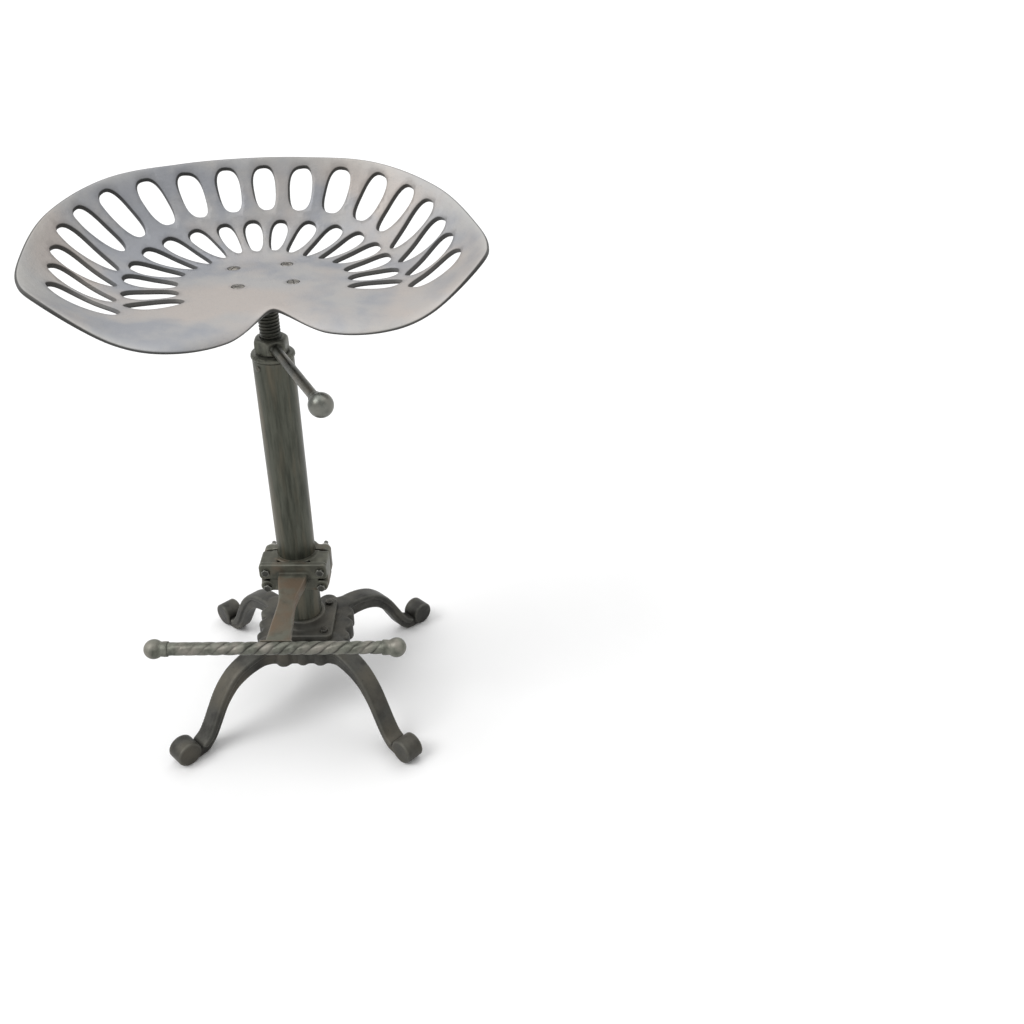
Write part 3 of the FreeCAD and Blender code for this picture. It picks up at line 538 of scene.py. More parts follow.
@dataclass(frozen=True)
class Finish:
    """A metal with patina: clouds of three colours, a fine tooth, uneven gloss, worn edges that also paint edge
    highlights, and painted highlight and painted shade from point values.

    Attributes:
        name: Name of the material.
        dark: Colour of the hollows and darker clouds.
        body: Main colour.
        tint: Colour of the other clouds.
        wear_and_highlight_colour: Colour of worn edges, which also stands in for their highlights, and of the painted
            highlight band.
        metal: How metallic the surface is.
        gloss: Least and most roughness.
        cloud: Size of the clouds.
        tooth: Size of the fine marks.
        relief: Depth of the fine marks.
        edge_wear_and_highlight: Share of worn colour on sharp edges: wear, and partly a painted highlight on the edges.
        grain: How the marks lie.
        highlight_and_wear_band: Name of a point value of painted highlight, partly wear, that lightens the surface
            towards the worn colour.
        painted_shade: Name of a point value of painted shade: darker corners, grooves, and walls that face away from
            the light.
        painted_shade_colour: Colour of that painted shade.
        drift: Name of a point value that moves the clouds towards the tint where it is positive, and towards the dark
            where it is negative.
        shine: Strength of the clear reflection.
        speck: Share of dark in the fine marks.
    """

    name: str
    dark: Colour
    body: Colour
    tint: Colour
    wear_and_highlight_colour: Colour
    metal: float = 0.55
    gloss: tuple[float, float] = (0.38, 0.58)
    cloud: float = 38.0
    tooth: float = 2.4
    relief: float = 0.10
    edge_wear_and_highlight: float = 0.5
    grain: Grain = Grain.EVEN
    highlight_and_wear_band: str = ""
    painted_shade: str = ""
    painted_shade_colour: Colour = (0.022, 0.021, 0.018)
    drift: str = ""
    shine: float = 0.22
    speck: float = 0.45

    def material(self) -> bpy.types.Material:
        """Node material of the finish, made once. Its name is no slot's name, since the frame has materials of those.

        Returns:
            The material.
        """
        found = bpy.data.materials.get(self.name)
        if found is not None:
            return found
        material = bpy.data.materials.new(self.name)
        material.use_nodes = True
        tree = material.node_tree
        shader = tree.nodes["Principled BSDF"]
        shader.inputs["Metallic"].default_value = self.metal
        shader.inputs["Specular IOR Level"].default_value = self.shine
        place = tree.nodes.new("ShaderNodeTexCoord").outputs["Object"]
        lay = tree.nodes.new("ShaderNodeMapping")
        lay.inputs["Scale"].default_value = self.grain.value
        tree.links.new(place, lay.inputs["Vector"])
        laid = lay.outputs["Vector"]
        clouds = self._noise(tree, laid, self.cloud, 5.0, 0.55)
        patches = self._noise(tree, laid, self.cloud * 2.3, 3.0, 0.5)
        marks = self._noise(tree, laid, self.tooth, 3.0, 0.6)
        dents = self._noise(tree, place, self.tooth * 6.0, 3.0, 0.5)
        tree.links.new(self._colour(tree, clouds, patches, marks), shader.inputs["Base Color"])
        tree.links.new(self._range(tree, clouds, 0.30, 0.70, *self.gloss), shader.inputs["Roughness"])
        tree.links.new(self._bumps(tree, marks, dents), shader.inputs["Normal"])
        return material

    def _colour(self, tree: Tree, clouds: Socket, patches: Socket, marks: Socket) -> Socket:
        """Colour of the surface: dark and body by the clouds, tint by the patches, specks, worn edges that also paint
        edge highlights, a painted highlight band that is partly wear, and painted shade.

        Args:
            tree: Tree of the material.
            clouds: Noise of the clouds.
            patches: Noise of the wider patches.
            marks: Noise of the fine marks.

        Returns:
            The colour.
        """
        if self.drift:
            shift = combined(tree, "MULTIPLY", self._value(tree, self.drift), 0.22)
            clouds, patches = combined(tree, "ADD", clouds, shift), combined(tree, "ADD", patches, shift)
        base = blended(tree, self._range(tree, clouds, 0.36, 0.60), self.dark, self.body)
        base = blended(tree, self._range(tree, patches, 0.46, 0.66), base, self.tint)
        specks = combined(tree, "MULTIPLY", self._range(tree, marks, 0.60, 0.74), self.speck)
        base = blended(tree, specks, base, self.dark)
        # Sharp edges lightened towards the worn colour: wear, and partly a painted edge highlight.
        bend = tree.nodes.new("ShaderNodeNewGeometry").outputs["Pointiness"]
        edge = combined(tree, "MULTIPLY", self._range(tree, bend, 0.515, 0.60), self.edge_wear_and_highlight)
        base = blended(tree, edge, base, self.wear_and_highlight_colour)
        # Painted highlight band from a point value, partly wear.
        if self.highlight_and_wear_band:
            base = blended(tree, self._value(tree, self.highlight_and_wear_band), base, self.wear_and_highlight_colour)
        # Painted shade from a point value: corners, grooves and walls that face away from the light.
        if self.painted_shade:
            base = blended(tree, self._value(tree, self.painted_shade), base, self.painted_shade_colour)
        return base

    def _bumps(self, tree: Tree, marks: Socket, dents: Socket) -> Socket:
        """Direction of the surface under two bumps, the fine marks and dents three times as deep.

        Args:
            tree: Tree of the material.
            marks: Height of the fine marks.
            dents: Height of the dents.

        Returns:
            The direction.
        """
        fine, broad = tree.nodes.new("ShaderNodeBump"), tree.nodes.new("ShaderNodeBump")
        for bump, height, depth in ((fine, marks, self.relief), (broad, dents, self.relief * 3.0)):
            bump.inputs["Distance"].default_value = depth * METRES
            tree.links.new(height, bump.inputs["Height"])
        tree.links.new(fine.outputs["Normal"], broad.inputs["Normal"])
        return broad.outputs["Normal"]

    @staticmethod
    def _noise(tree: Tree, place: Socket, size: float, detail: float, rough: float) -> Socket:
        """Noise whose marks are about one size.

        Args:
            tree: Tree of the material.
            place: Coordinates.
            size: Size of the marks in millimetres.
            detail: Number of finer layers.
            rough: Strength of each finer layer.

        Returns:
            The noise, about 0.5 on average.
        """
        noise = tree.nodes.new("ShaderNodeTexNoise")
        noise.inputs["Scale"].default_value = 1.0 / (size * METRES)
        noise.inputs["Detail"].default_value = detail
        noise.inputs["Roughness"].default_value = rough
        tree.links.new(place, noise.inputs["Vector"])
        return noise.outputs["Fac"]

    @staticmethod
    def _range(
        tree: Tree, value: Socket, low: float, high: float, to_low: float = 0.0, to_high: float = 1.0
    ) -> Socket:
        """Value spread from one range to another and held there.

        Args:
            tree: Tree of the material.
            value: The value.
            low: Where the first range starts.
            high: Where it ends.
            to_low: Where the second range starts.
            to_high: Where it ends.

        Returns:
            The spread value.
        """
        spread = tree.nodes.new("ShaderNodeMapRange")
        for name, number in (("From Min", low), ("From Max", high), ("To Min", to_low), ("To Max", to_high)):
            spread.inputs[name].default_value = number
        tree.links.new(value, spread.inputs["Value"])
        return spread.outputs["Result"]

    @staticmethod
    def _value(tree: Tree, label: str) -> Socket:
        """The piece's own point value of a name, or nought on a piece without it.

        Args:
            tree: Tree of the material.
            label: Name of the point value.

        Returns:
            The value.
        """
        attribute = tree.nodes.new("ShaderNodeAttribute")
        attribute.attribute_name = label
        return attribute.outputs["Fac"]


# In the finishes below, soil and grime give painted shade in corners and grooves, and wear and worn give worn edges
# that also paint edge highlights; the seat's band paints a highlight along its rim.
CAST_IRON = Finish(
    "dark_casting",
    dark=(0.030, 0.029, 0.026), body=(0.072, 0.071, 0.063),
    tint=(0.102, 0.094, 0.076), wear_and_highlight_colour=(0.24, 0.24, 0.21),
    metal=0.35, gloss=(0.40, 0.58), cloud=24.0, relief=0.20, edge_wear_and_highlight=0.65, painted_shade="painted_shade", painted_shade_colour=(0.010, 0.010, 0.008),
)
ARM_IRON = Finish(
    "brown_casting",
    dark=(0.080, 0.080, 0.063), body=(0.136, 0.137, 0.109),
    tint=(0.150, 0.112, 0.078), wear_and_highlight_colour=(0.34, 0.34, 0.30),
    metal=0.35, gloss=(0.38, 0.54), cloud=15.0, relief=0.20, edge_wear_and_highlight=0.8, painted_shade="painted_shade", painted_shade_colour=(0.009, 0.009, 0.007),
    drift="drift",
)
BAR_IRON = Finish(
    "wrought_bar",
    dark=(0.092, 0.096, 0.078), body=(0.196, 0.200, 0.168),
    tint=(0.262, 0.246, 0.214), wear_and_highlight_colour=(0.40, 0.40, 0.36),
    metal=0.4, gloss=(0.34, 0.52), cloud=11.0, tooth=1.7, relief=0.24, painted_shade="painted_shade", painted_shade_colour=(0.018, 0.018, 0.014),
    speck=0.7,
)
POST_STEEL = Finish(
    "streaked_pipe",
    dark=(0.050, 0.053, 0.041), body=(0.098, 0.102, 0.081),
    tint=(0.124, 0.112, 0.082), wear_and_highlight_colour=(0.22, 0.22, 0.19),
    metal=0.45, gloss=(0.30, 0.46), cloud=5.5, tooth=2.0, relief=0.06, grain=Grain.STREAKED,
)
WELD = Finish(
    "weld_bead",
    dark=(0.052, 0.054, 0.043), body=(0.116, 0.119, 0.095),
    tint=(0.155, 0.154, 0.124), wear_and_highlight_colour=(0.34, 0.34, 0.30),
    metal=0.45, gloss=(0.34, 0.50), cloud=8.0, edge_wear_and_highlight=0.7,
)
# The bolts' bright worn colour on their edges partly paints the heads' highlights.
BOLT_STEEL = Finish(
    "dark_bolt",
    dark=(0.022, 0.022, 0.019), body=(0.044, 0.044, 0.038),
    tint=(0.066, 0.063, 0.053), wear_and_highlight_colour=(0.46, 0.46, 0.42),
    metal=0.7, gloss=(0.22, 0.34), cloud=5.0, edge_wear_and_highlight=0.9, relief=0.05, shine=0.5,
)
FLANGE_BOLT_STEEL = Finish(
    "flange_bolt",
    dark=(0.026, 0.025, 0.022), body=(0.052, 0.050, 0.044),
    tint=(0.080, 0.074, 0.060), wear_and_highlight_colour=(0.20, 0.20, 0.18),
    metal=0.5, gloss=(0.36, 0.52), cloud=6.0, edge_wear_and_highlight=0.5, relief=0.06,
)
LEVER_STEEL = Finish(
    "lever_patina",
    dark=(0.045, 0.046, 0.038), body=(0.098, 0.100, 0.084),
    tint=(0.140, 0.130, 0.104), wear_and_highlight_colour=(0.30, 0.30, 0.27),
    metal=0.55, gloss=(0.28, 0.44), cloud=12.0, shine=0.4,
)
BALL_STEEL = Finish(
    "ball_patina",
    dark=(0.080, 0.084, 0.074), body=(0.165, 0.172, 0.155),
    tint=(0.190, 0.186, 0.162), wear_and_highlight_colour=(0.38, 0.38, 0.35),
    metal=0.7, gloss=(0.28, 0.40), cloud=10.0, relief=0.06, shine=0.5,
)
THREAD_STEEL = Finish(
    "dark_thread",
    dark=(0.018, 0.019, 0.015), body=(0.040, 0.042, 0.034),
    tint=(0.062, 0.060, 0.047), wear_and_highlight_colour=(0.24, 0.24, 0.21),
    metal=0.6, gloss=(0.28, 0.42), cloud=9.0, edge_wear_and_highlight=0.6,
)
HIDDEN_STEEL = Finish(
    "hidden_plate",
    dark=(0.05, 0.05, 0.045), body=(0.09, 0.09, 0.08),
    tint=(0.11, 0.105, 0.09), wear_and_highlight_colour=(0.22, 0.22, 0.2),
)
GUIDE_BLACK = Finish(
    "guide_black",
    dark=(0.015, 0.015, 0.015), body=(0.03, 0.03, 0.03),
    tint=(0.04, 0.04, 0.04), wear_and_highlight_colour=(0.07, 0.07, 0.07),
    metal=0.0,
)
SEAT_METAL = Finish(
    "seat_patina",
    dark=(0.305, 0.313, 0.335), body=(0.392, 0.385, 0.380),
    tint=(0.432, 0.397, 0.372), wear_and_highlight_colour=(0.540, 0.530, 0.500),
    metal=0.30, gloss=(0.46, 0.60), cloud=40.0, tooth=2.0, relief=0.26, edge_wear_and_highlight=0.0, highlight_and_wear_band="rim", painted_shade="painted_shade",
    painted_shade_colour=(0.030, 0.030, 0.027), drift="drift", shine=0.2, speck=0.75,
)
SCREW_STEEL = Finish(
    "worn_screw",
    dark=(0.06, 0.055, 0.05), body=(0.20, 0.19, 0.17),
    tint=(0.27, 0.25, 0.22), wear_and_highlight_colour=(0.6, 0.58, 0.54),
    metal=0.7, gloss=(0.26, 0.40), cloud=5.0, edge_wear_and_highlight=0.8, relief=0.04, shine=0.4,
)


def dress(obj: bpy.types.Object, finish: Finish) -> None:
    """Give an object one finish in place of what it has."""
    obj.data.materials.clear()
    obj.data.materials.append(finish.material())


def fit(name: str, surface: Surface, finish: Finish, body: str, node: str, crisp: bool = False) -> None:
    """Make a piece that stands for a solid, dress it and let it ride.

    Args:
        name: Name of the piece.
        surface: Its shape.
        finish: Its finish.
        body: Body that it moves with.
        node: Solid that it stands for.
        crisp: True keeps its flats flat.
    """
    obj = piece(name, surface, crisp)
    dress(obj, finish)
    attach(obj, body)
    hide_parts(node)


@dataclass
class Base:
    """Cast hub with four legs, the foot flange and its bolts.

    Attributes:
        hub_low: Under side of the hub.
        hub_high: Top of the hub.
        hub_half: Half width of the hub's square.
        corner: Rounding of the hub's and the flange's corners.
        lobes: Place and radius of each scallop on the hub's sides.
        strap_half: Half width of the strap along a leg's top.
        web_half: Half width of the web under it.
        strap_depth: Depth of the strap at the hub.
        toe_centre: Reach of a toe's roll.
        toe_radius: Radius of the roll.
        toe_half: Half width of the roll.
        flange_half: Half width of the flange.
        flange_high: Top of the flange.
        boss_radius: Radius of its boss.
        boss_high: Top of the boss.
        post_radius: Radius of the post in it.
        bolt_pitch: Distance between bolts.
        bolt_radius: Radius of a bolt.
        leg: Side outline of a leg, worked out.
        strap: Side outline of its strap, worked out.
    """

    hub_low: float = 85.0
    hub_high: float = 111.0
    hub_half: float = 57.0
    corner: float = 8.0
    lobes: tuple[tuple[float, float, float], ...] = (
        (-22.5, -53.0, 10.5),
        (3.0, -53.5, 7.6),
        (26.0, -53.0, 8.8),
        (-52.5, -25.0, 9.2),
        (-52.5, 1.0, 10.6),
        (-52.5, 25.0, 12.4),
        (52.5, -25.5, 10.2),
        (52.5, 0.5, 12.2),
        (52.5, 25.0, 10.8),
        (-25.0, 52.5, 12.0),
        (0.5, 52.5, 11.0),
        (25.0, 52.5, 12.3),
    )
    strap_half: float = 12.4
    web_half: float = 9.6
    strap_depth: float = 9.0
    toe_centre: float = 203.5
    toe_radius: float = 16.5
    toe_half: float = 13.0
    flange_half: float = 41.0
    flange_high: float = 121.0
    boss_radius: float = 28.6
    boss_high: float = 134.0
    post_radius: float = 24.15
    bolt_pitch: float = 60.0
    bolt_radius: float = 3.0
    leg: Outline = field(init=False)
    strap: Outline = field(init=False)

    def __post_init__(self) -> None:
        """Side outlines of a leg: the whole bar with its foot, and the strap along its top."""
        ridge = flowing(
            [(34, 111), (62, 111), (84, 110.4), (104, 106), (121, 98), (135, 86), (146, 72), (156, 55), (166, 37)]
            + [(175, 24), (186, 16)]
        )
        belly = flowing(
            [(186, 0), (174, 3), (161, 16), (150, 34), (137, 56), (121, 73), (104, 81.5), (85, 85), (60, 85), (34, 85)]
        )
        self.leg = Outline(np.vstack([ridge, [(203.5, 16)], [(203.5, 0)], belly]))
        under = ridge - np.array([0.0, self.strap_depth])
        drift = smooth_step((ridge[:, 0] - 100.0) / 40.0) * self.strap_depth * 0.85
        under = under + np.stack([-drift, drift * 0.55], axis=1)
        self.strap = Outline(np.vstack([ridge, under[::-1]]))

    def bolt_holes(self, x: Array, y: Array) -> Array:
        """Distance to the four bolt holes, 0.5 wider all round than the bolts."""
        half = self.bolt_pitch / 2
        return np.hypot(np.abs(x) - half, np.abs(y) - half) - self.bolt_radius - 0.5

    def casting(self, x: Array, y: Array, z: Array) -> Array:
        """Distance to the casting: legs in the diagonals folded onto one, filleted to the scalloped hub.

        Args:
            x: Places across.
            y: Places along, towards the back.
            z: Heights.

        Returns:
            The distances, negative inside.
        """
        ax, ay = np.abs(x), np.abs(y)
        reach, side = (ax + ay) / math.sqrt(2), np.abs(ax - ay) / math.sqrt(2)
        web = rounded(self.leg(reach, z), side - self.web_half, 2.5)
        strap = rounded(self.strap(reach, z), side - self.strap_half, 2.4)
        toe = np.hypot(reach - self.toe_centre, z - self.toe_radius) - self.toe_radius
        leg = smooth_min(smooth_min(web, strap, 1.6), rounded(toe, side - self.toe_half, 2.6), 1.8)
        plan = rectangle(x, y, self.hub_half, self.hub_half, self.corner)
        for lobe_x, lobe_y, lobe_radius in self.lobes:
            plan = smooth_min(plan, np.hypot(x - lobe_x, y - lobe_y) - lobe_radius, 2.6)
        hub = rounded(plan, between(z, self.hub_low, self.hub_high), 3.2)
        return np.maximum(smooth_min(leg, hub, 5.0), -self.bolt_holes(x, y))

    def flange(self, x: Array, y: Array, z: Array) -> Array:
        """Distance to the foot flange: square plate, round boss with a fillet up to the post, bored for it.

        Args:
            x: Places across.
            y: Places along, towards the back.
            z: Heights.

        Returns:
            The distances, negative inside.
        """
        radius = np.hypot(x, y)
        plan = rectangle(x, y, self.flange_half, self.flange_half, self.corner)
        plate = rounded(plan, between(z, self.hub_high, self.flange_high), 2.0)
        boss = rounded(radius - self.boss_radius, between(z, self.hub_high, self.boss_high), 2.5)
        whole = np.maximum(smooth_min(plate, boss, 9.0), self.hub_high - z)
        whole = np.maximum(whole, self.post_radius + 0.05 - radius)
        return np.maximum(whole, -self.bolt_holes(x, y))

    def bolts(self) -> Surface:
        """Four hexagon bolts, their heads on the flange.

        Returns:
            The closed surfaces as one.
        """
        one = hexagon_bolt(6.0, self.flange_high - self.hub_low + 8.8)
        places = [(sx * self.bolt_pitch / 2, sy * self.bolt_pitch / 2) for sx in (-1, 1) for sy in (-1, 1)]
        return Surface.joined(
            [one.placed(about_z(17.0 * k), np.array([px, py, self.flange_high])) for k, (px, py) in enumerate(places)]
        )

    def build(self) -> None:
        """Make and dress the base."""
        casting = cast(self.casting, (-172, -172, 0), (172, 172, self.hub_high), 1.7)
        fit("Base_casting", casting, CAST_IRON, "stand", "base_casting")
        flange = cast(self.flange, (-42, -42, self.hub_high), (42, 42, self.boss_high), 1.0)
        fit("Post_flange", flange, CAST_IRON, "stand", "post_flange")
        fit("Flange_bolts", self.bolts(), FLANGE_BOLT_STEEL, "stand", "flange_bolts", crisp=True)


@dataclass
class Post:
    """Pipe post, the bush with its weld ring, and the rivet.

    Attributes:
        radius: Outer radius of the pipe.
        bore: Inner radius of the pipe.
        low: Foot of the pipe, in the flange.
        high: Top of the pipe.
        ring_radius: Outer radius of the weld ring.
        ring_high: Top of the weld ring.
        thread_bore: Radius of the bore over the thread.
        bush_low: Lower end of the bush, inside the pipe.
        rivet_height: Height of the rivet.
        rivet_degrees: Direction of the rivet.
    """

    radius: float = 24.15
    bore: float = 20.95
    low: float = 113.0
    high: float = 507.5
    ring_radius: float = 25.5
    ring_high: float = 514.0
    thread_bore: float = 12.08
    bush_low: float = 477.5
    rivet_height: float = 500.5
    rivet_degrees: float = -128.0

    def tube(self) -> Surface:
        """Round tube, a profile that goes up the outside and down the bore.

        Returns:
            The closed surface.
        """
        heights = np.linspace(self.low, self.high - 1.0, 60)
        outer = np.stack([np.full(60, self.radius), heights], axis=1)
        top = [(self.radius - 0.3, self.high - 0.3), (self.radius - 1.0, self.high), (self.bore, self.high)]
        profile = np.vstack([[(self.bore, self.low)], outer, top])
        return lathe(profile, 128, closed=True)

    def bush(self) -> Surface:
        """Plug with the weld ring on top; the bead swells and dips as overlapping drops do.

        Returns:
            The closed surface.
        """
        middle = (self.high + self.ring_high) / 2
        half = (self.ring_high - self.high) / 2
        tilt = np.radians(np.linspace(-80, 80, 17))
        bead = np.stack([self.ring_radius - 2.6 + 2.6 * np.cos(tilt), middle + half * np.sin(tilt)], axis=1)
        plug = self.bore - 0.05
        below = [(self.thread_bore, self.bush_low), (plug, self.bush_low), (plug, self.high - 0.1)]
        profile = np.vstack([below, [(self.bore + 1.5, self.high)], bead, [(self.thread_bore, self.ring_high)]])
        angle = np.linspace(0, 2 * np.pi, 256, endpoint=False)[None, :]
        on_bead = np.zeros((len(profile), 1))
        on_bead[4:21, 0] = np.sin(np.linspace(0, np.pi, 17)) ** 0.7
        drops = 0.34 * np.abs(np.sin(17 * angle + 0.8 * np.sin(3 * angle))) + 0.22 * np.sin(5 * angle + 1.0) - 0.25
        return lathe(profile, 256, closed=True, ripple=on_bead * drops)

    def rivet(self) -> Surface:
        """Domed pin head on the post: r = 3.6 cos(t)^0.8, height 1.9 sin t.

        Returns:
            The closed surface.
        """
        t = np.radians(np.linspace(0, 88, 10))
        dome = np.stack([3.6 * np.cos(t) ** 0.8, 0.2 + 1.9 * np.sin(t)], axis=1)
        one = lathe(np.vstack([[(2.4, -6.0)], [(2.4, 0.0)], [(3.5, 0.0)], dome]), 32)
        a = math.radians(self.rivet_degrees)
        out = np.array([math.cos(a), math.sin(a), 0.0])
        return one.placed(along(out), out * (self.radius + 0.02) + np.array([0, 0, self.rivet_height]))

    def build(self) -> None:
        """Make and dress the post."""
        fit("Post_tube", self.tube(), POST_STEEL, "stand", "post_tube", crisp=True)
        fit("Thread_bush", self.bush(), WELD, "stand", "thread_bush")
        fit("Bush_rivet", self.rivet(), LEVER_STEEL, "stand", "bush_rivet")


@dataclass
class Lever:
    """Lock nut with its rod, ferrule and ball.

    Attributes:
        low: Under side of the nut.
        high: Top of the nut.
        flats: Width across its flats.
        bore: Radius of its bore.
        degrees: Direction of the rod.
        height: Height of the rod.
        rod_radius: Radius of the rod.
        reach: Distance of the ball from the post axis.
        ball_radius: Radius of the ball.
    """

    low: float = 514.3
    high: float = 532.8
    flats: float = 36.0
    bore: float = 12.08
    degrees: float = -63.6
    height: float = 522.1
    rod_radius: float = 6.0
    reach: float = 170.0
    ball_radius: float = 13.5

    def nut(self) -> Surface:
        """Tall hexagon nut, chamfered at both ends and bored.

        Returns:
            The closed surface.
        """
        corner = self.flats / math.sqrt(3)
        h = self.high - self.low
        foot = ((0.84, 0.0), (0.93, 0.7), (0.99, 1.8), (1.03, 3.4), (1.06, 6.0), (1.06, h * 0.5))
        head = ((1.05, 7.0), (1.0, 4.6), (0.95, 2.8), (0.88, 1.3), (0.80, 0.4))
        rows = [(self.bore, 0.0), (self.bore + 2.0, 0.0)] + [(corner * across, up) for across, up in foot]
        rows += [(corner * across, h - down) for across, down in head]
        rows += [(corner * 0.73, h), (self.bore + 1.2, h), (self.bore + 0.3, h - 0.4), (self.bore, h - 1.5)]
        nut = hexagon_lathe(rows, self.flats, 120, closed=True)
        return nut.placed(about_z(self.degrees), np.array([0.0, 0.0, self.low]))

    def out(self, surface: Surface, distance: float) -> Surface:
        """Surface built up +Z, laid along the lever.

        Args:
            surface: The surface.
            distance: How far off the post axis it starts.

        Returns:
            The surface in its place.
        """
        a = math.radians(self.degrees)
        way = np.array([math.cos(a), math.sin(a), 0.0])
        return surface.placed(along(way), way * distance + np.array([0.0, 0.0, self.height]))

    def rod(self) -> Surface:
        """Round rod with a small weld flare where it leaves the nut.

        Returns:
            The closed surface.
        """
        start = self.flats / 2 - 1.9
        length = self.reach - 6.0 - start
        h = np.concatenate([np.linspace(0, 8, 14), np.linspace(10, length, 40)])
        r = self.rod_radius + 1.9 * np.exp(-((h / 3.4) ** 2)) - 0.25 * smooth_step(h / length)
        angle = np.linspace(0, 2 * np.pi, 48, endpoint=False)[None, :]
        lumps = 0.35 * np.exp(-((h[:, None] / 4.0) ** 2)) * np.sin(5 * angle + 0.7)
        return self.out(lathe(np.stack([r, h], axis=1), 48, ripple=lumps), start)

    def collar(self) -> Surface:
        """Ferrule: a short barrel with rounded ends, bored for the rod.

        Returns:
            The closed surface.
        """
        face = -math.sqrt(self.ball_radius**2 - 8.5**2)
        t = np.linspace(-1, 1, 15)
        barrel = np.stack([7.3 + 1.2 * (1 - t**6) - 0.4 * (1 - t), face - 4.6 + 4.5 * t], axis=1)
        profile = np.vstack([[(6.05, face - 9.0)], barrel, [(6.05, face)]])
        return self.out(lathe(profile, 64, closed=True), self.reach)

    def ball(self) -> Surface:
        """Ball grip: a sphere with a small flat at its outer pole.

        Returns:
            The closed surface.
        """
        t = np.radians(np.linspace(-88, 74, 44))
        profile = np.stack([self.ball_radius * np.cos(t), self.ball_radius * np.sin(t)], axis=1)
        return self.out(lathe(profile, 72), self.reach)

    def build(self) -> None:
        """Make and dress the lever."""
        fit("Lever_nut", self.nut(), WELD, "lever", "lever_nut", crisp=True)
        fit("Lever_rod", self.rod(), LEVER_STEEL, "lever", "lever_rod")
        fit("Lever_collar", self.collar(), LEVER_STEEL, "lever", "lever_collar")
        fit("Lever_ball", self.ball(), BALL_STEEL, "lever", "lever_ball")


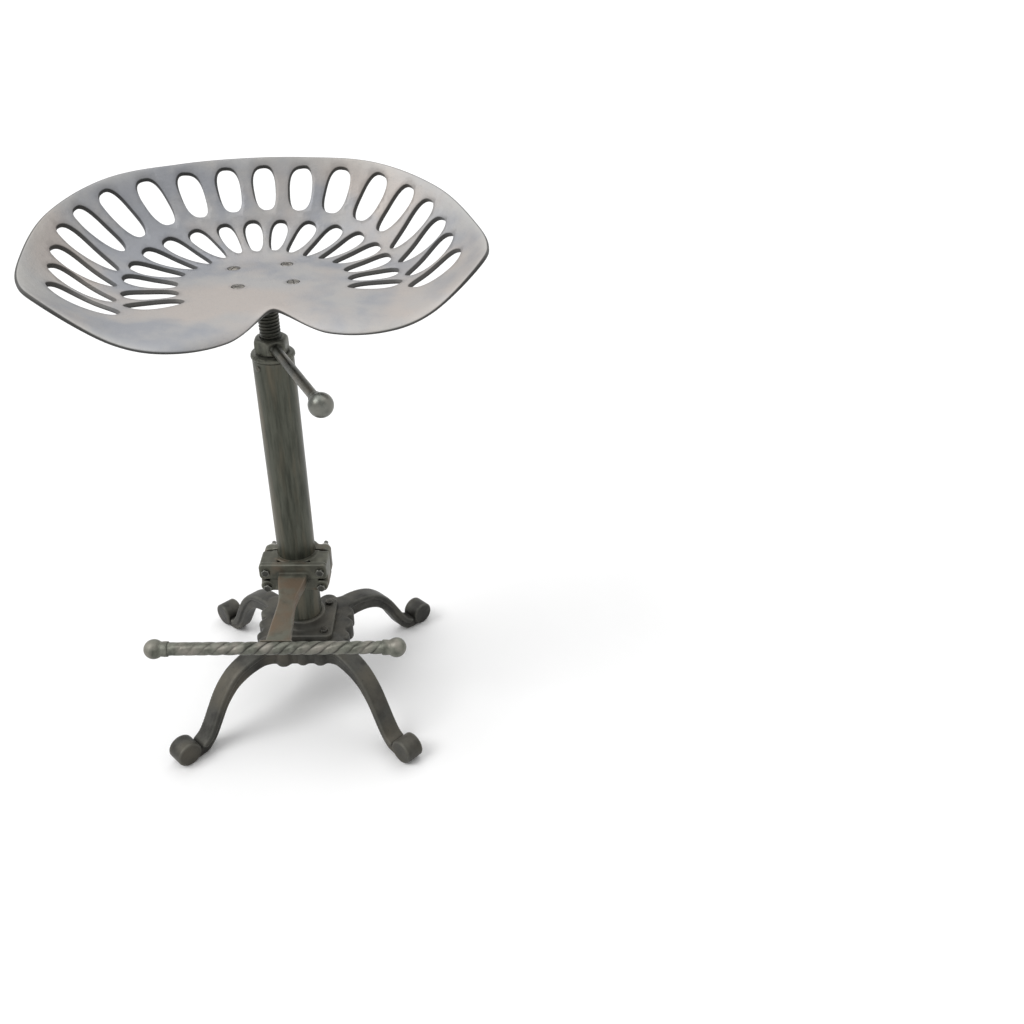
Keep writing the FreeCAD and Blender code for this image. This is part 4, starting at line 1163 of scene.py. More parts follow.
@dataclass
class Footrest:
    """Clamp on the post, arm and twisted bar.

    Attributes:
        high: Top of the clamp.
        collar_low: Foot of the half collars.
        collar_radius: Outer radius of the half collars.
        split: Half the gap between the jaws.
        half_width: Half width of the jaws.
        front: Front face of the clamp.
        post_radius: Radius of the bore round the post.
        lug_middle: Distance of the side blocks' middles from the post's axis.
        bolt_half: Half the distance between bolts.
        bolt_hole: Radius of a bolt hole.
        bolt_levels: Heights of the bolts.
        bar_y: Place of the bar.
        bar_z: Height of the bar.
        bar_radius: Radius over the bar's lobes.
        ball_half: Half the distance between the balls.
        ball_radius: Radius of a ball.
        groove_step: Distance between grooves along the bar.
    """

    high: float = 233.0
    collar_low: float = 194.0
    collar_radius: float = 30.6
    split: float = 2.0
    half_width: float = 43.0
    front: float = -38.5
    post_radius: float = 24.22
    lug_middle: float = 32.0
    bolt_half: float = 34.4
    bolt_hole: float = 3.5
    bolt_levels: tuple[float, float] = (200.5, 225.0)
    bar_y: float = -177.0
    bar_z: float = 217.0
    bar_radius: float = 7.9
    ball_half: float = 140.8
    ball_radius: float = 11.7
    groove_step: float = 15.4

    def bored(self, shape: Array, x: Array, y: Array, z: Array) -> Array:
        """Shape less the post's bore and the four bolt holes.

        Args:
            shape: Distances of the shape.
            x: Places across.
            y: Places along, towards the back.
            z: Heights.

        Returns:
            The distances, negative inside.
        """
        shape = np.maximum(shape, self.post_radius - np.hypot(x, y))
        for level in self.bolt_levels:
            shape = np.maximum(shape, self.bolt_hole - np.hypot(np.abs(x) - self.bolt_half, z - level))
        return shape

    def along_arm(self, y: Array) -> Array:
        """Share of the way from the clamp's front to the bar."""
        return np.clip((self.front - y) / (self.front - self.bar_y), 0.0, 1.0)

    def arm_half(self, y: Array) -> Array:
        """Half width of the arm: flared at the clamp, waisted, then wide at the bar."""
        t = self.along_arm(y)
        return 10.4 + 8.0 * (1 - smooth_step(t / 0.42)) + 4.0 * smooth_step((t - 0.30) / 0.70)

    def clamp(self, x: Array, y: Array, z: Array) -> Array:
        """Distance to the front jaw without its arm: face plate, lugs, side blocks and half collar.

        Args:
            x: Places across.
            y: Places along, towards the back.
            z: Heights.

        Returns:
            The distances, negative inside.
        """
        ax = np.abs(x)
        plate = rectangle(x, z - 225.0, self.half_width, 11.0, 5.0)
        plate = rounded(plate, between(y, self.front, self.front + 8.0), 1.5)
        apron = rounded(rectangle(x, z - 212.0, 31.0, 18.0, 4.0), between(y, self.front + 2.0, -31.0), 2.0)
        lug = np.hypot(ax - self.bolt_half, z - self.bolt_levels[0] - 1.2) - 8.6
        lug = rounded(lug, between(y, self.front + 1.0, -self.split), 1.8)
        block = rectangle(ax - self.lug_middle, y + 17.0, 11.0, 15.0, 3.0)
        block = rounded(block, between(z, 198.0, self.high), 1.6)
        collar = between(z, self.collar_low, self.high + 0.6)
        collar = rounded(np.hypot(x, y) - self.collar_radius, collar, 1.6)
        collar = smooth_max(collar, y + self.split, 0.8)
        low_body = rounded(rectangle(x, y + 18.0, 26.0, 16.0, 2.0), between(z, 196.0, 215.0), 2.0)
        jaw = smooth_min(smooth_min(plate, apron, 1.5), smooth_min(lug, block, 2.0), 1.6)
        jaw = smooth_min(smooth_min(jaw, collar, 2.2), low_body, 1.2)
        return np.maximum(jaw, y + self.split)

    def arm(self, x: Array, y: Array, z: Array) -> Array:
        """Distance to the arm, which drops 5.5 on its way to the bar.

        Args:
            x: Places across.
            y: Places along, towards the back.
            z: Heights.

        Returns:
            The distances, negative inside.
        """
        middle = 216.8 - 5.5 * self.along_arm(y)
        arm = rounded(0.97 * (np.abs(x) - self.arm_half(y)), np.abs(z - middle) - 6.4, 2.6)
        return smooth_max(arm, between(y, self.bar_y + 2.0, self.front + 4.0), 1.0)

    def front_jaw(self, x: Array, y: Array, z: Array) -> Array:
        """Distance to the front jaw: the clamp, the arm and the saddle under the bar, bored.

        Args:
            x: Places across.
            y: Places along, towards the back.
            z: Heights.

        Returns:
            The distances, negative inside.
        """
        whole = smooth_min(self.clamp(x, y, z), self.arm(x, y, z), 3.6)
        bar = np.hypot(y - self.bar_y, z - self.bar_z)
        saddle = rounded(bar - 9.6, np.abs(x) - 19.0, 2.0)
        whole = smooth_min(whole, np.maximum(saddle, self.bar_y + 3.0 - y), 2.5)
        return self.bored(np.maximum(whole, 8.05 - bar), x, y, z)

    def rear_jaw(self, x: Array, y: Array, z: Array) -> Array:
        """Distance to the rear jaw: half collar with an ear each side, bored.

        Args:
            x: Places across.
            y: Places along, towards the back.
            z: Heights.

        Returns:
            The distances, negative inside.
        """
        ear = rectangle(np.abs(x) - self.lug_middle, z - 213.5, 11.0, 19.5, 7.0)
        ear = rounded(ear, between(y, self.split, 14.0), 1.8)
        collar = rounded(np.hypot(x, y) - self.collar_radius, between(z, self.collar_low, self.high), 1.8)
        whole = smooth_min(ear, smooth_max(collar, self.split - y, 0.8), 3.0)
        return self.bored(np.maximum(whole, self.split - y), x, y, z)

    def bolts(self) -> Surface:
        """Four bolts through both jaws, their heads on the plate and the lugs.

        Returns:
            The closed surfaces as one.
        """
        one = hexagon_bolt(6.0, 67.5)
        lay = along(np.array([0.0, -1.0, 0.0]))
        parts = []
        for k, level in enumerate(self.bolt_levels):
            for side in (-1, 1):
                turn = lay @ about_z(23.0 * k + 11.0 * side)
                parts.append(one.placed(turn, np.array([side * self.bolt_half, self.front + (1.0 - k), level])))
        return Surface.joined(parts)

    def bar(self) -> Surface:
        """Twisted bar: a round with three rope-like lobes whose grooves follow each other along it.

        The radius dips by d (1 - |sin(1.5 a + pi x / step)|^0.5), and d fades where the bar is worn plain.

        Returns:
            The closed surface, with painted shade in its grooves.
        """
        end = self.ball_half - 4.0
        x = np.linspace(-end, end, 460)[:, None]
        angle = np.linspace(0, 2 * np.pi, 96, endpoint=False)[None, :]
        depth = 0.45 + 1.25 * smooth_step((x + 100.0) / 60.0)
        depth = depth * smooth_step((end - np.abs(x) - 8.0) / 16.0)
        wave = np.abs(np.sin(1.5 * angle + np.pi * x / self.groove_step + 0.35 * np.sin(x / 17.0)))
        groove = 1.0 - wave**0.5
        radius = self.bar_radius - depth * groove
        y, z = radius * np.cos(angle), radius * np.sin(angle)
        rings = np.stack([np.broadcast_to(x, y.shape), y + self.bar_y, z + self.bar_z], axis=-1)
        bar = skin(rings)
        # Painted shade in the grooves, stronger where they are deeper and patchy along the bar.
        patchy = 0.62 + 0.30 * np.sin(x / 7.3 + 1.0) * np.sin(x / 23.0) + 0.18 * np.sin(2 * angle + x / 9.0)
        shade = np.clip(groove**1.5 * depth * patchy, 0.0, 0.95).ravel()
        bar.values["painted_shade"] = np.concatenate([shade, np.zeros(len(bar.points) - len(shade))])
        return bar

    def knob(self, side: int) -> Surface:
        """Ball on the bar's end with a swelled neck, as one turned profile with a socket for the bar.

        Args:
            side: -1 for the left end, 1 for the right.

        Returns:
            The closed surface.
        """
        t = np.radians(np.linspace(-38, 86, 40))
        ball = np.stack([self.ball_radius * np.cos(t), self.ball_radius * np.sin(t)], axis=1)
        neck = flowing([(8.3, -16.6), (9.0, -16.2), (9.2, -15.0), (9.2, -12.0), (8.9, -9.2), (9.0, -8.0)], 5)
        profile = np.vstack([[(8.02, -16.6)], neck, ball, [(0.4, self.ball_radius)]])
        profile = np.vstack([[(0.3, -4.0), (8.0, -4.0)], profile])
        way = np.array([float(side), 0.0, 0.0])
        return lathe(profile, 64).placed(along(way), np.array([side * self.ball_half, self.bar_y, self.bar_z]))

    def build(self) -> None:
        """Make and dress the footrest."""
        jaw = cast(self.front_jaw, (-43, -180, 190), (43, -2, 237), 0.95)
        jaw.values["drift"] = 0.85 * smooth_step((-42.0 - jaw.points[:, 1]) / 9.0) - 0.35
        fit("Footrest_arm", jaw, ARM_IRON, "footrest", "footrest_arm")
        rear = cast(self.rear_jaw, (-43, 2, 193), (43, 31, 234), 0.95)
        fit("Clamp_rear_jaw", rear, ARM_IRON, "footrest", "clamp_rear_jaw")
        fit("Clamp_bolts", self.bolts(), BOLT_STEEL, "footrest", "clamp_bolts", crisp=True)
        fit("Footrest_bar", self.bar(), BAR_IRON, "footrest", "footrest_bar")
        fit("Footrest_ball_left", self.knob(-1), BAR_IRON, "footrest", "footrest_ball_left")
        fit("Footrest_ball_right", self.knob(1), BAR_IRON, "footrest", "footrest_ball_right")


@dataclass
class Spindle:
    """Threaded spindle and the plate under the seat.

    Attributes:
        radius: Outer radius of the thread.
        pitch: Rise of the thread in a turn.
        depth: Depth of the thread.
        top: Upper end of the spindle.
        thread_high: Where the thread ends.
        thread_low: Where the thread starts.
        shoulder: Where the plain tail ends.
        tail_radius: Radius of the tail.
        tail_low: Lower end of the tail.
        turn: Turn of the seat from the footrest, in degrees.
        plate_low: Under side of the plate.
        plate_high: Top of the plate.
        plate_half: Half width of the plate.
        boss_radius: Radius of its boss.
        boss_low: Under side of the boss.
        screw_half: Half the distance between screws.
    """

    radius: float = 12.0
    pitch: float = 4.0
    depth: float = 1.5
    top: float = 592.5
    thread_high: float = 583.5
    thread_low: float = 420.0
    shoulder: float = 391.5
    tail_radius: float = 8.0
    tail_low: float = 362.9
    turn: float = 15.3
    plate_low: float = 594.5
    plate_high: float = 600.5
    plate_half: float = 42.0
    boss_radius: float = 20.0
    boss_low: float = 580.5
    screw_half: float = 29.5

    def screw(self) -> Surface:
        """Spindle whose thread is a true right-hand helix.

        The radius dips by the depth times w, where w is 0.5 - 0.9 cos(2 pi (z / pitch - a / 2 pi)) held between 0
        and 1, so crest and root are narrow flats.

        Returns:
            The closed surface.
        """
        angle = np.linspace(0, 2 * np.pi, 72, endpoint=False)[None, :]
        z = np.arange(self.thread_low - 2, self.thread_high + 2, self.pitch / 11)[:, None]
        wave = np.clip(0.5 - 0.9 * np.cos(2 * np.pi * (z / self.pitch) - angle), 0.0, 1.0)
        fade = smooth_step((z - self.thread_low) / 4) * smooth_step((self.thread_high - z) / 3)
        thread = self.radius - self.depth * wave * fade
        tail = [(self.tail_radius - 0.6, self.tail_low), (self.tail_radius, self.tail_low + 0.6)]
        step = [(self.tail_radius, self.shoulder), (self.radius - 0.5, self.shoulder)]
        step += [(self.radius, self.shoulder + 0.5)]
        below = np.array(tail + step)
        above = np.array([(self.radius, self.top - 0.5), (self.radius - 0.5, self.top)])
        radius = np.vstack([np.repeat(below[:, :1], 72, 1), thread, np.repeat(above[:, :1], 72, 1)])
        height = np.vstack([np.repeat(below[:, 1:], 72, 1), np.repeat(z, 72, 1), np.repeat(above[:, 1:], 72, 1)])
        return skin(np.stack([radius * np.cos(angle), radius * np.sin(angle), height], axis=-1))

    def plate(self, x: Array, y: Array, z: Array) -> Array:
        """Distance to the plate under the pan, with its boss, in the seat's own turn.

        Args:
            x: Places across.
            y: Places along, towards the back.
            z: Heights.

        Returns:
            The distances, negative inside.
        """
        radius = np.hypot(x, y)
        plan = rectangle(x, y, self.plate_half, self.plate_half, 8.0)
        sheet = rounded(plan, between(z, self.plate_low, self.plate_high), 1.2)
        boss = rounded(radius - self.boss_radius, between(z, self.boss_low, self.plate_low + 3.0), 1.6)
        whole = np.maximum(smooth_min(sheet, boss, 4.0), z - self.plate_high)
        bore = np.maximum(radius - self.radius - 0.05, z - self.top)
        screw = np.hypot(np.abs(x) - self.screw_half, np.abs(y) - self.screw_half) - 3.5
        return np.maximum(whole, -np.minimum(bore, screw))

    def build(self) -> None:
        """Make and dress the spindle and the plate."""
        fit("Spindle", self.screw(), THREAD_STEEL, "seat", "spindle")
        plate = cast(self.plate, (-43, -43, 579), (43, 43, 602), 1.1).placed(about_z(self.turn), np.zeros(3))
        fit("Pan_plate", plate, HIDDEN_STEEL, "seat", "seat_plate")


class Edge(Enum):
    """Kinds of edge on the pan."""

    RIM = "rim"
    SLOT = "slot"
    SCREW = "screw"


@dataclass
class SeatPan:
    """Pressed bowl with two rows of slots, rounded at every edge.

    The rim's reach and height are given by direction, and the bowl rises to it as a power of the reach.

    Attributes:
        height: Height of the bowl's flat middle.
        wall: Thickness, measured square to the bowl.
        turn: Turn of the seat from the footrest, in degrees.
        flat_share: Share of the reach over which the middle is flat.
        rim_lip: Rounding of the rim.
        slot_lips: Least and most factor on a slot's insets, towards the window and away from it.
        slot_section: Inset and depth of each row on the wall of an opening.
        slot_ease: What a slot's wall takes off its length and widths at the narrowest.
        grid: Spacing of the points between the edges.
        screw_half: Half the distance between screws.
        inner_centre: Place that the inner slots are measured from.
        outer_centre: Place that the outer slots are measured from.
        powers: Bluntness of the inner and the outer slots.
        rim: Direction in degrees, reach and height of the rim's stations.
        sweep: Direction and power of the bowl's rise.
        inner_slots: Angle, reach, slant, length, inner width, outer width and lean of each slot, on one side.
        outer_slots: The same for the outer row.
    """

    height: float = 605.5
    wall: float = 5.0
    turn: float = 15.3
    flat_share: float = 0.301
    rim_lip: float = 1.9
    slot_lips: tuple[float, float] = (0.35, 3.2)
    slot_section: tuple[tuple[float, float], ...] = (
        (1.0, 0.0),
        (0.94, 0.08),
        (0.86, 0.3),
        (0.70, 0.9),
        (0.42, 1.9),
        (0.15, 2.9),
        (0.04, 3.5),
        (0.0, 4.0),
        (0.0, 4.4),
        (0.03, 4.7),
        (0.10, 4.9),
        (0.22, 5.0),
    )
    slot_ease: float = 0.8
    grid: float = 4.6
    screw_half: float = 29.5
    inner_centre: float = -23.3
    outer_centre: float = -40.0
    powers: tuple[float, float] = (2.5, 2.7)
    rim: tuple[tuple[float, float, float], ...] = (
        (-90, 103.0, 2.5),
        (-72, 154.7, -10.4),
        (-58, 194.8, -7.6),
        (-44, 218.5, 3.5),
        (-30, 247.1, 40.0),
        (-18, 247.7, 44.3),
        (-5, 234.6, 53.5),
        (12, 215.2, 72.1),
        (35, 182.7, 88.9),
        (60, 145.1, 94.1),
        (90, 126.0, 96.7),
    )
    sweep: tuple[tuple[float, float], ...] = (
        (-90, 4.00),
        (-60, 5.03),
        (-20, 3.89),
        (20, 2.41),
        (55, 1.92),
        (90, 1.83),
    )
    inner_slots: tuple[tuple[float, ...], ...] = (
        (0.0, 96.4, 0.0, 27.9, 12.9, 24.5, 0.0),
        (15.4, 100.0, 26.0, 30.8, 11.8, 21.4, -22.3),
        (29.4, 105.8, 49.0, 42.2, 11.2, 21.6, -26.0),
        (42.3, 111.7, 60.2, 52.8, 9.5, 22.8, -20.2),
        (54.2, 117.2, 69.7, 56.8, 10.5, 22.5, -14.8),
        (66.1, 120.2, 77.5, 56.4, 17.0, 23.0, -6.9),
        (79.2, 120.0, 73.1, 56.7, 24.1, 25.8, 6.1),
        (94.6, 119.1, 90.8, 55.2, 26.6, 29.7, 18.6),
        (108.6, 120.6, 103.8, 53.2, 25.2, 33.7, 34.0),
    )
    outer_slots: tuple[tuple[float, ...], ...] = (
        (7.7, 149.6, 3.6, 26.2, 22.3, 28.5, -8.0),
        (22.5, 159.1, 18.9, 28.4, 23.3, 28.9, -17.3),
        (36.0, 172.8, 39.8, 33.8, 23.8, 27.0, -23.3),
        (48.5, 184.1, 57.9, 41.3, 21.7, 25.7, -17.2),
        (58.9, 189.6, 67.5, 45.9, 16.5, 24.6, -16.7),
        (68.3, 188.0, 66.8, 55.4, 11.3, 28.5, -15.4),
        (77.4, 184.3, 65.9, 60.7, 11.2, 30.7, -10.7),
        (87.2, 181.7, 56.4, 68.1, 15.6, 28.3, -8.1),
        (98.2, 182.4, 53.9, 75.5, 24.6, 27.3, -3.6),
    )

    @staticmethod
    def eased(stations: tuple[tuple[float, ...], ...], degrees: Array, column: int) -> Array:
        """Value between stations: cubics with slopes from the neighbours, level at the two ends.

        Args:
            stations: Rows that start with a direction in degrees, in rising order.
            degrees: Directions to read.
            column: Column of the value.

        Returns:
            The value in each direction.
        """
        table = np.array(stations, float)
        a, v = table[:, 0], table[:, column]
        slopes = np.zeros(len(a))
        slopes[1:-1] = (v[2:] - v[:-2]) / (a[2:] - a[:-2])
        k = np.clip(np.searchsorted(a, degrees) - 1, 0, len(a) - 2)
        width = a[k + 1] - a[k]
        t = np.clip((degrees - a[k]) / width, 0.0, 1.0)
        low = (1 + 2 * t) * (1 - t) ** 2 * v[k] + t * (1 - t) ** 2 * width * slopes[k]
        return low + t * t * (3 - 2 * t) * v[k + 1] + t * t * (t - 1) * width * slopes[k + 1]

    def rise(self, x: Array, y: Array) -> Array:
        """Height of the top face over the middle: Z q^P, less a small roll within 13 of the rim.

        Z and P are the rim's height and the power in that direction, and q runs from 0 where the flat middle ends to 1
        at the rim.

        Args:
            x: Places across.
            y: Places along, towards the back.

        Returns:
            The heights.
        """
        degrees = np.degrees(np.arctan2(y, np.abs(x) + 1e-9))
        reach = self.eased(self.rim, degrees, 1)
        radius = np.hypot(x, y)
        q = (radius / reach - self.flat_share) / (1 - self.flat_share)
        power = self.eased(self.sweep, degrees, 1)
        bowl = self.eased(self.rim, degrees, 2) * np.where(q <= 1, np.maximum(q, 0.0) ** power, 1 + power * (q - 1))
        front = smooth_step((-degrees + 5.0) / 50.0)
        roll = (0.9 + 1.9 * front) * np.clip(1 - (reach - radius) / 13.0, 0.0, 1.3) ** 2
        return bowl - roll

    def lifted(self, plan: Array, depth: float | Array) -> tuple[Array, Array]:
        """Points at a depth under the top face, measured square to it.

        Args:
            plan: Plan points.
            depth: Depth of each.

        Returns:
            Points in space, and the top face's normals there.
        """
        x, y = plan.T
        step = 0.4
        sx = (self.rise(x + step, y) - self.rise(x - step, y)) / (2 * step)
        sy = (self.rise(x, y + step) - self.rise(x, y - step)) / (2 * step)
        normal = np.stack([-sx, -sy, np.ones_like(sx)], axis=1)
        normal /= np.linalg.norm(normal, axis=1, keepdims=True)
        top = np.stack([x, y, self.height + self.rise(x, y)], axis=1)
        return top - normal * np.reshape(depth, (-1, 1)), normal

    def rim_loop(self, count: int = 520) -> Array:
        """Rim in plan, anticlockwise.

        Args:
            count: Number of its corners.

        Returns:
            The corners as rows.
        """
        angle = np.linspace(-np.pi / 2, 1.5 * np.pi, count, endpoint=False)
        x, y = np.cos(angle), np.sin(angle)
        reach = self.eased(self.rim, np.degrees(np.arctan2(y, np.abs(x) + 1e-9)), 1)
        return np.stack([reach * x, reach * y], axis=1)

    @staticmethod
    def slot_loop(
        x: float, y: float, slant: float, length: float, narrow: float, wide: float, lean: float, power: float
    ) -> Array:
        """Clockwise outline of one slot: a blunt oval, wide at its outer end, with corners evenly spaced.

        Along the slot u = (length / 2) c^(2 / power), and across it v = w(u) s^(2 / power), with c and s the cosine
        and sine of the way round. The width lies at the lean off square.

        Args:
            x: Place of the slot's middle.
            y: Place of the slot's middle.
            slant: Turn from straight back, in degrees.
            length: Length of the slot.
            narrow: Width at the inner end.
            wide: Width at the outer end.
            lean: Lean of the ends off square, in degrees.
            power: Bluntness: 2 is an ellipse, and more is blunter.

        Returns:
            64 corners as rows.
        """
        way = np.linspace(0, 2 * np.pi, 721)
        c, s = np.cos(way), np.sin(way)
        u = np.sign(c) * np.abs(c) ** (2 / power)
        half_width = (narrow + (wide - narrow) * (u + 1) / 2) / 2
        width, tilt = half_width * np.sign(s) * np.abs(s) ** (2 / power), math.radians(lean)
        local = np.stack([u * length / 2 + width * math.sin(tilt), width * math.cos(tilt)], axis=1)
        run = np.concatenate([[0.0], np.cumsum(np.linalg.norm(np.diff(local, axis=0), axis=1))])
        even = np.linspace(0, run[-1], 64, endpoint=False)
        local = np.stack([np.interp(even, run, local[:, 0]), np.interp(even, run, local[:, 1])], axis=1)[::-1]
        a = math.radians(90.0 - slant)
        return local @ np.array([[math.cos(a), math.sin(a)], [-math.sin(a), math.cos(a)]]) + np.array([x, y])

    def slots(self) -> list[Array]:
        """Outlines of both rows of slots, the inner row first and each slot on both sides.

        Returns:
            The clockwise outlines.
        """
        loops = []
        tables, centres = (self.inner_slots, self.outer_slots), (self.inner_centre, self.outer_centre)
        for table, centre, power in zip(tables, centres, self.powers):
            for angle, reach, slant, *sizes, lean in table:
                sizes = [size - self.slot_ease for size in sizes]
                x, y = reach * math.sin(math.radians(angle)), centre + reach * math.cos(math.radians(angle))
                for side in (1, -1) if angle else (1,):
                    loops.append(self.slot_loop(side * x, y, side * slant, *sizes, side * lean, power))
        return loops

    def screw_places(self) -> list[tuple[float, float]]:
        """Places of the four screws."""
        return [(sx * self.screw_half, sy * self.screw_half) for sx in (-1, 1) for sy in (-1, 1)]

    def screw_loops(self) -> list[Array]:
        """Clockwise outlines of the four screw holes."""
        return [arc(place, 6.35, 360.0, 10.0, 36) for place in self.screw_places()]

    @staticmethod
    def inside(points: Array, loop: Array) -> Array:
        """Whether points are in a loop: an odd count of sides that a level ray crosses.

        Args:
            points: Points as rows.
            loop: Corners of the loop as rows.

        Returns:
            True for each point inside.
        """
        (ax, ay), (bx, by) = loop.T[:, None, :], np.roll(loop, -1, axis=0).T[:, None, :]
        px, py = points[:, :1], points[:, 1:]
        level = (ay > py) != (by > py)
        cross = ax + (py - ay) * (bx - ax) / np.where(by == ay, 1e-12, by - ay)
        return (level & (px < cross)).sum(1) % 2 == 1

    @staticmethod
    def away(points: Array, loop: Array) -> Array:
        """Least distance from points to a loop's corners."""
        return np.sqrt(((points[:, None, :] - loop[None, :, :]) ** 2).sum(2).min(1))

    def rim_section(self) -> Array:
        """Section of the rim: a quarter circle, a straight wall and another quarter circle.

        Returns:
            Rows of inset and depth, as many as the openings have.
        """
        turn = np.radians(np.linspace(0, 90, len(self.slot_section) // 2))
        rounding = self.rim_lip * (1 - np.stack([np.sin(turn), np.cos(turn)], axis=1))
        return np.vstack([rounding, np.stack([rounding[::-1, 0], self.wall - rounding[::-1, 1]], axis=1)])

    def away_from_light(self, inward: Array) -> Array:
        """One where an opening's wall looks away from the window, nought where it looks towards it.

        Args:
            inward: Directions in plan from the opening into the metal.

        Returns:
            The share for each.
        """
        turn = math.radians(self.turn)
        side = np.array([-0.75, 0.66]) @ np.array([[math.cos(turn), -math.sin(turn)], [math.sin(turn), math.cos(turn)]])
        return smooth_step((inward @ side + 0.55) / 1.3)

    def edge(self, loop: Array, kind: Edge) -> tuple[Array, Array, Array, Array]:
        """Points of an edge: a row for each step of its section, measured square to the bowl.

        Args:
            loop: Outline of the edge in plan, with the metal on its left.
            kind: What edge it is.

        Returns:
            Plan places, places in space, depths as a share of the wall, and shade, from 0.45 towards the window to 1
            away from it. Each lists the whole first row, then the next.
        """
        section = self.rim_section() if kind is Edge.RIM else np.array(self.slot_section)
        tangent = np.roll(loop, -1, axis=0) - np.roll(loop, 1, axis=0)
        tangent /= np.linalg.norm(tangent, axis=1, keepdims=True)
        inward = np.stack([-tangent[:, 1], tangent[:, 0]], axis=1)
        _, normal = self.lifted(loop, 0.0)
        steep = -(normal[:, :2] * inward).sum(1) / normal[:, 2]
        shorten = 1 / np.sqrt(1 + steep**2)
        away = np.ones(len(loop)) if kind is Edge.RIM else self.away_from_light(inward)
        if kind is Edge.SLOT:
            least, most = self.slot_lips
            shorten = shorten * (least + (most - least) * away)
        inset = section[:, :1] * shorten
        plan = (loop + inward * inset[:, :, None]).reshape(-1, 2)
        depth = np.repeat(section[:, 1], len(loop))
        return plan, self.lifted(plan, depth)[0], depth / self.wall, np.tile(0.45 + 0.55 * away, len(section))

    def lattice(self, tops: list[Array]) -> Array:
        """Plan places between the edges, on a lattice of triangles and clear of every edge.

        Args:
            tops: First rows of the edges in plan, the rim's first.

        Returns:
            The places as rows.
        """
        line = np.arange(-262, 263, self.grid)
        across, back = np.meshgrid(line, line * 0.866)
        across = across + np.where(np.arange(len(line)) % 2, self.grid / 2, 0.0)[:, None]
        inner = np.stack([across.ravel(), back.ravel()], axis=1)
        inner = inner[self.inside(inner, tops[0]) & (self.away(inner, tops[0]) > 2.6)]
        for loop in tops[1:]:
            near = np.abs(inner - loop.mean(0)).max(1) < 45
            hit = np.zeros(len(inner), bool)
            hit[near] = self.inside(inner[near], loop) | (self.away(inner[near], loop) < 2.0)
            inner = inner[~hit]
        return inner

    def triangles(self, tops: list[Array], inner: Array) -> Array:
        """Triangles of one face in plan, with every edge kept and nothing across an opening.

        Args:
            tops: First rows of the edges in plan, the rim's first.
            inner: Places between them.

        Returns:
            Anticlockwise corners as rows, numbered through the first rows and then the places.
        """
        flat = np.vstack(tops + [inner])
        sides, base = [], 0
        for loop in tops:
            ids = base + np.arange(len(loop))
            sides += np.stack([ids, np.roll(ids, -1)], axis=1).tolist()
            base += len(loop)
        out = delaunay_2d_cdt([Vector(place) for place in flat.tolist()], sides, [], 0, 1e-5, True)
        first = np.array([ids[0] for ids in out[3]])
        tris = first[np.array(out[2])]
        centre = flat[tris].mean(1)
        keep = self.inside(centre, tops[0])
        for loop in tops[1:]:
            near = np.abs(centre - loop.mean(0)).max(1) < 45
            keep[near] &= ~self.inside(centre[near], loop)
        tris = tris[keep]
        a, b, c = flat[tris[:, 0]], flat[tris[:, 1]], flat[tris[:, 2]]
        left = (b - a)[:, 0] * (c - a)[:, 1] - (b - a)[:, 1] * (c - a)[:, 0] > 0
        return np.where(left[:, None], tris, tris[:, ::-1])

    @staticmethod
    def blob(plan: Array, x: float, y: float, half_x: float, half_y: float) -> Array:
        """Soft round patch: exp(-(u u + v v)), with u and v the distances from its middle in half widths."""
        return np.exp(-(((plan[:, 0] - x) / half_x) ** 2 + ((plan[:, 1] - y) / half_y) ** 2))

    def tone_and_painted_light(self, plan: Array, deep: Array, shade: Array, loops: list[Array]) -> dict[str, Array]:
        """Point values that the finish reads.

        The rim's painted highlight, partly wear, falls off as exp(-(d / 5.5)^1.6) with the distance d, uneven along the
        rim and stronger on the left tip. Painted shade lies on the walls by their shade, fades just outside an opening,
        and fills the rim's lower half.
        Drift warms the left side and the front and cools two patches between them.

        Args:
            plan: Plan places of all points.
            deep: Depths as a share of the wall.
            shade: Shade of each point.
            loops: Outlines of the edges, the rim's first.

        Returns:
            The values by name.
        """
        rim_near = np.concatenate([self.away(part, loops[0]) for part in np.array_split(plan, 24)])
        hole_near = np.full(len(plan), 1e3)
        for loop in loops[1:]:
            near = np.abs(plan - loop.mean(0)).max(1) < 50
            hole_near[near] = np.minimum(hole_near[near], self.away(plan[near], loop))
        x, y = plan.T
        # Painted highlight along the rim and on the left tip, partly wear.
        uneven = 0.27 + 0.31 * np.sin(x / 31.0 + 0.6) * np.sin(y / 47.0 + x / 90.0)
        light = uneven * np.exp(-((rim_near / 5.5) ** 1.6)) + 0.55 * self.blob(plan, -228, -75, 26, 45)
        # Painted shade on walls that face away from the light, just outside the openings and on the rim's lower half.
        edge = 0.22 * np.exp(-((hole_near / 2.2) ** 1.5)) * shade * (deep < 0.9)
        wall = 0.88 * shade * smooth_step((deep - 0.01) / 0.14) * (1 - smooth_step((deep - 0.90) / 0.10))
        under = 0.92 * smooth_step((deep - 0.30) / 0.25) * (1 - smooth_step((deep - 0.82) / 0.18)) * (rim_near < 3.0)
        warm = self.blob(plan, -215, 20, 40, 60) + 0.8 * self.blob(plan, -40, -70, 90, 55)
        cool = self.blob(plan, -120, 60, 70, 70) + 0.7 * self.blob(plan, -120, -150, 60, 40)
        # rim holds the painted highlight, soil the painted shade, and drift the tone of the clouds.
        return {
            "rim": np.clip(light, 0, 1) * (deep < 0.3),
            "painted_shade": np.maximum(np.maximum(edge, wall), under),
            "drift": np.clip(warm - cool, -1.0, 1.0),
        }

